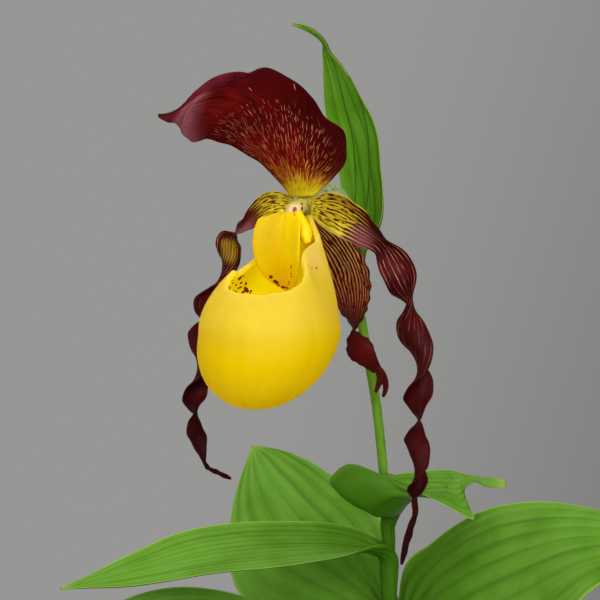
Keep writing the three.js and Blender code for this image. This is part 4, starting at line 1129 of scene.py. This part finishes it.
pouch = Finish("pouch_yellow", 0.42, 0.73, shine=0.1)
place = pouch.place()
x, _, height = place.parts()
cloud = place.stretched(1, 1, 0.45).noise(60, 3)
vein = place.stretched(1, 1, 0.12).noise(420)
inner = pouch.under()
# paler towards the rim and to the left: partly the real paler rim, partly a painted highlight on the
# upper left
pale = (height + cloud * 0.008 - x * 0.06).rise(0.271, 0.284)
waxy = place.spots([(-24, -46.5, 292, 7), (-21.5, -42, 297, 5)], 1.0)
freckles = place.spots([
    (-49.2, -34.3, 283.6, 0.5), (-48.2, -30.3, 281.8, 0.5), (-47.0, -31.0, 284.0, 0.95),
    (-46.2, -30.2, 284.6, 0.5), (-46.8, -28.1, 280.9, 0.45), (-45.3, -27.6, 282.1, 0.4),
    (-45.3, -26.4, 279.8, 0.9), (-44.8, -26.0, 279.3, 0.6), (-44.2, -25.3, 278.8, 0.35),
    (-48.8, -29.4, 279.9, 0.4), (-50.2, -32.9, 281.6, 0.4), (-49.8, -31.6, 280.6, 0.35),
    (-47.6, -28.9, 280.2, 0.45), (-45.9, -27.4, 283.2, 0.35), (-25.6, -46.9, 288.7, 0.3),
    (-24.3, -45.4, 288.8, 0.4), (-49, -32.5, 282.7, 0.5), (-49.9, -31.9, 281.2, 0.45),
    (-47.4, -28.5, 280.7, 0.5), (-45.3, -27.4, 281.8, 0.5), (-46.2, -26.7, 279.2, 0.6),
    (-43.9, -25.4, 279.4, 0.45), (-48.3, -28.5, 279.5, 0.5), (-46.7, -29.1, 282.3, 0.6),
    (-45.6, -26.9, 280.5, 0.55)], 0.3)
tint = layers(
    # painted light: lighter upward
    (0.62, 0.54, 0.0), (height.rise(0.25, 0.285), (0.65, 0.57, 0.001)),
    (pale * 0.6, (0.61, 0.62, 0.13)), (vein.rise(0.5, 0.75) * 0.12, (0.7, 0.46, 0.0)),
    # painted light: the inside much lighter than the outside, for light glowing through the wall, and a
    # pale band along the rolled rim as a painted highlight
    (waxy * 0.8, (0.72, 0.55, 0.26)), (inner.rise(0.5, 0.9), (0.98, 0.78, 0.01)),
    (inner.band(0.4, 0.35) * 0.4, (0.85, 0.7, 0.24)), (freckles, (0.14, 0.006, 0.002)))
# painted light: the light let through is lighter inside as well
glow = layers((0.87, 0.775, 0.0), (inner, (1.0, 0.83, 0.008)), (freckles, (0.25, 0.012, 0.0)))
lip_finish = pouch.coat(tint, place.noise(900) * 0.5 + vein * 0.5, 0.08, None, glow)
depth = np.repeat(np.clip((np.arange(len(lip_rings) - 1) - 52) / 35, 0, 1), AROUND)
lip = mesh_piece("lip_pouch", *closed_skin(lip_rings), lip_finish, under=depth)
fit(lip, "lip")

# ------------------------------------------------------------------- column
# The short cream column with a yellow anther on each side and the stigma below, and
# in front of it the staminode, a waxy yellow shield folded along its middle, with
# painted shade along the fold and over the half beyond it.
cream = Finish("column_cream", 0.45, 0.1, Subsurface_Weight=0.08,
               Subsurface_Radius=(0.003, 0.002, 0.001), Subsurface_Scale=1.0)
place = cream.place()
grain = place.noise(800)
x, _, z = place.parts()
specks = place.spots([
    (-30.6, -34.0, 304.9, 0.75), (-30.9, -34.3, 304.4, 0.6), (-28.5, -32.7, 304.8, 0.6),
    (-28.3, -32.5, 305.3, 0.5), (-28.5, -31.8, 306.2, 0.55), (-27, -29.7, 306, 0.4),
    (-26.7, -29.4, 305.4, 0.4)], 0.3)
tint = layers(
    (0.52, 0.38, 0.13), (grain, (0.64, 0.5, 0.24)),
    (z.rise(0.3052, 0.3072) * 0.95, (0.4, 0.33, 0.02)),
    (x.rise(-0.0288, -0.0266) * 0.8, (0.42, 0.34, 0.03)), (specks, (0.13, 0.01, 0.004)))
column_finish = cream.coat(tint, grain, 0.1)


def column_rod(name, rows, sides, finish):
    rings = [in_flower(ring) for ring in rod(rows, sides, 10)]
    fit(mesh_piece(name, *closed_skin(rings), finish), "column")


column_rod("column_stalk", [
    (0, 0.6, 0.3, 2.2), (0, -1.6, 0.1, 2.4), (0, -4, -0.8, 2.6), (0, -5.6, -4, 2.3),
    (0, -6.2, -8, 1.8)], 32, column_finish)
wax = Finish("anther_yellow", 0.4, 0.2, shine=0.2)
grain = wax.place().noise(700)
anther_finish = wax.coat(mix(grain, (0.82, 0.52, 0.0), (0.88, 0.6, 0.004)), grain, 0.1)
for side, name in ((-1, "anther_left"), (1, "anther_right")):
    column_rod(name, [(2.2 * side, -5.9, -1.2, 1.2), (4.6 * side, -7.4, -4.2, 2),
                      (7 * side, -9, -7.4, 2.1), (8.3 * side, -9.8, -9.6, 0.9)], 24, anther_finish)
STIGMA_SIZE, STIGMA_TILT, STIGMA_AT = (3.2, 2.8, 1.3), 0.7, (-6.2, -8.6)
turn = np.linspace(0, 2 * math.pi, 32, endpoint=False)
c, s = math.cos(STIGMA_TILT), math.sin(STIGMA_TILT)
rings = []
for rise in np.linspace(-90, 90, 17) * RAD:
    ring = turn[:1] if abs(rise) > 1.57 else turn
    x = STIGMA_SIZE[0] * np.cos(rise) * np.cos(ring)
    y = STIGMA_SIZE[1] * np.cos(rise) * np.sin(ring)
    z = STIGMA_SIZE[2] * np.sin(rise)
    rings.append(in_flower(np.stack([x, y * c - z * s + STIGMA_AT[0],
                                     y * s + z * c + STIGMA_AT[1]], 1)))
stigma = mesh_piece("stigma", *closed_skin(rings), column_finish)
fit(stigma, "column")

STAMINODE = [
    (-0.2, -7.9, -1, 2.8, 12, 0), (-0.2, -9.2, -2.1, 3.8, 18, 0), (-0.2, -10.2, -3.5, 7.2, 25, 0),
    (-0.2, -11, -5.6, 8.2, 28, 0), (-0.2, -11.5, -8.8, 8.6, 30, 0), (-0.2, -11.5, -12.3, 8.5, 32, 0),
    (-0.2, -10.9, -16, 7.6, 34, 0), (-0.1, -9.6, -19.4, 6, 34, 0), (0, -8, -22.3, 3.6, 30, 0),
    (0, -6.8, -24.4, 1.3, 20, 0),
]
shield = Finish("staminode_yellow", 0.4, 0.35, shine=0.12)
grain = shield.place().noise(600)
along, across, _ = shield.place("UV").parts()
# painted shade: a darker orange band along the fold
fold = across.band(0.56, 0.1) * along.rise(0.12, 0.4) * along.rise(0.85, 1.0, 1.0, 0.3)
specks = shield.place().spots([
    (-37.7, -34.9, 284.8, 0.75), (-36.5, -34.6, 283.5, 0.7), (-36.0, -34.4, 283.2, 0.75),
    (-35.5, -34.1, 282.3, 0.5), (-34.3, -34.1, 281.7, 0.55), (-33.8, -34.1, 281.7, 0.55),
    (-32.9, -34.3, 281.5, 0.45), (-31.7, -40.2, 288.8, 0.36), (-31.7, -40.0, 288.2, 0.36),
    (-31.7, -38.9, 286.3, 0.36), (-31.7, -38.5, 285.5, 0.36), (-32.3, -36.3, 283.5, 0.36),
    (-32.4, -35.8, 282.8, 0.36)], 0.35)
# painted shade: the half beyond the fold darker, and the fold itself darker orange
tint = layers(
    (0.8, 0.61, 0.0), (across.rise(0.45, 0.6), (0.6, 0.43, 0.0)), (fold * 0.6, (0.66, 0.38, 0.0)),
    (along.rise(0.6, 1.0) * 0.5, (0.76, 0.42, 0.0)), (specks, (0.16, 0.004, 0.002)))
shield_finish = shield.coat(tint, grain, 0.1, None, mix(specks, (0.9, 0.6, 0.0), (0.3, 0.01, 0.0)))
grid = in_flower(blade(STAMINODE, face=(0, -1, 0.3), per=16, across=49))
f, v = fractions(grid)
crease = -0.5 * ends(f) * np.exp(-(v / 0.18) ** 2)
staminode = thin_piece("staminode_shield", grid, SHIELD_THICK, shield_finish, crease)
fit(staminode, "staminode")

# ------------------------------------------------- floor, light and camera
# A plain pale floor under the pot, even grey air behind, broad soft lights from above,
# from the front and both sides and from behind, which lets the petals glow, and a long
# lens level with the bloom.
bpy.ops.mesh.primitive_circle_add(vertices=128, radius=0.5, fill_type="NGON", location=(0, 0, 0))
floor = bpy.context.object
floor.name = "floor"
ground = Finish("pale_floor", 0.9)
floor.data.materials.append(ground.coat((0.5, 0.5, 0.49)))

world = bpy.data.worlds.new("grey_air")
bpy.context.scene.world = world
world.use_nodes = True
x, _, z = wire(world.node_tree, "ShaderNodeTexCoord", output="Generated").parts()
level = (x - z * 0.3).rise(0.0, 0.45, 0.31, 0.165)
tone = level.into("ShaderNodeCombineColor", level * 0.995, level * 0.97)
feed(world.node_tree.nodes["Background"], (tone, 1.0))


def softbox(name, place, size, power):
    """A round lamp, in metres and watts, that shines on the plant's middle."""
    light = bpy.data.lights.new(name, "AREA")
    light.shape = "DISK"
    light.size = size
    light.energy = power
    lamp = add_object(name, light)
    lamp.location = place
    lamp.rotation_euler = (MIDDLE - Vector(place)).to_track_quat("-Z", "Y").to_euler()
    return lamp


MIDDLE = Vector((-0.02, -0.02, 0.25))
softbox("overhead", (-0.35, -0.35, 1.3), 1.1, 8)
softbox("front_fill", (-0.4, -1.15, 0.75), 0.9, 11.5)
softbox("right_fill", (0.5, -0.95, 0.9), 0.8, 14)
softbox("back_light", (-0.3, 1.0, 0.75), 0.8, 12).visible_glossy = False

camera = add_object("camera", bpy.data.cameras.new("camera"))
camera.data.sensor_width = 36
camera.data.lens = 100
TARGET = np.array([-29.1, -28, 277])
DISTANCE, ELEVATION = 500, 8 * RAD
camera.location = (TARGET + DISTANCE * np.array([0, -math.cos(ELEVATION), math.sin(ELEVATION)])) * MM
camera.rotation_euler = (math.pi / 2 - ELEVATION, 0, 0)
bpy.context.scene.camera = camera
bpy.context.scene.view_settings.view_transform = "Standard"
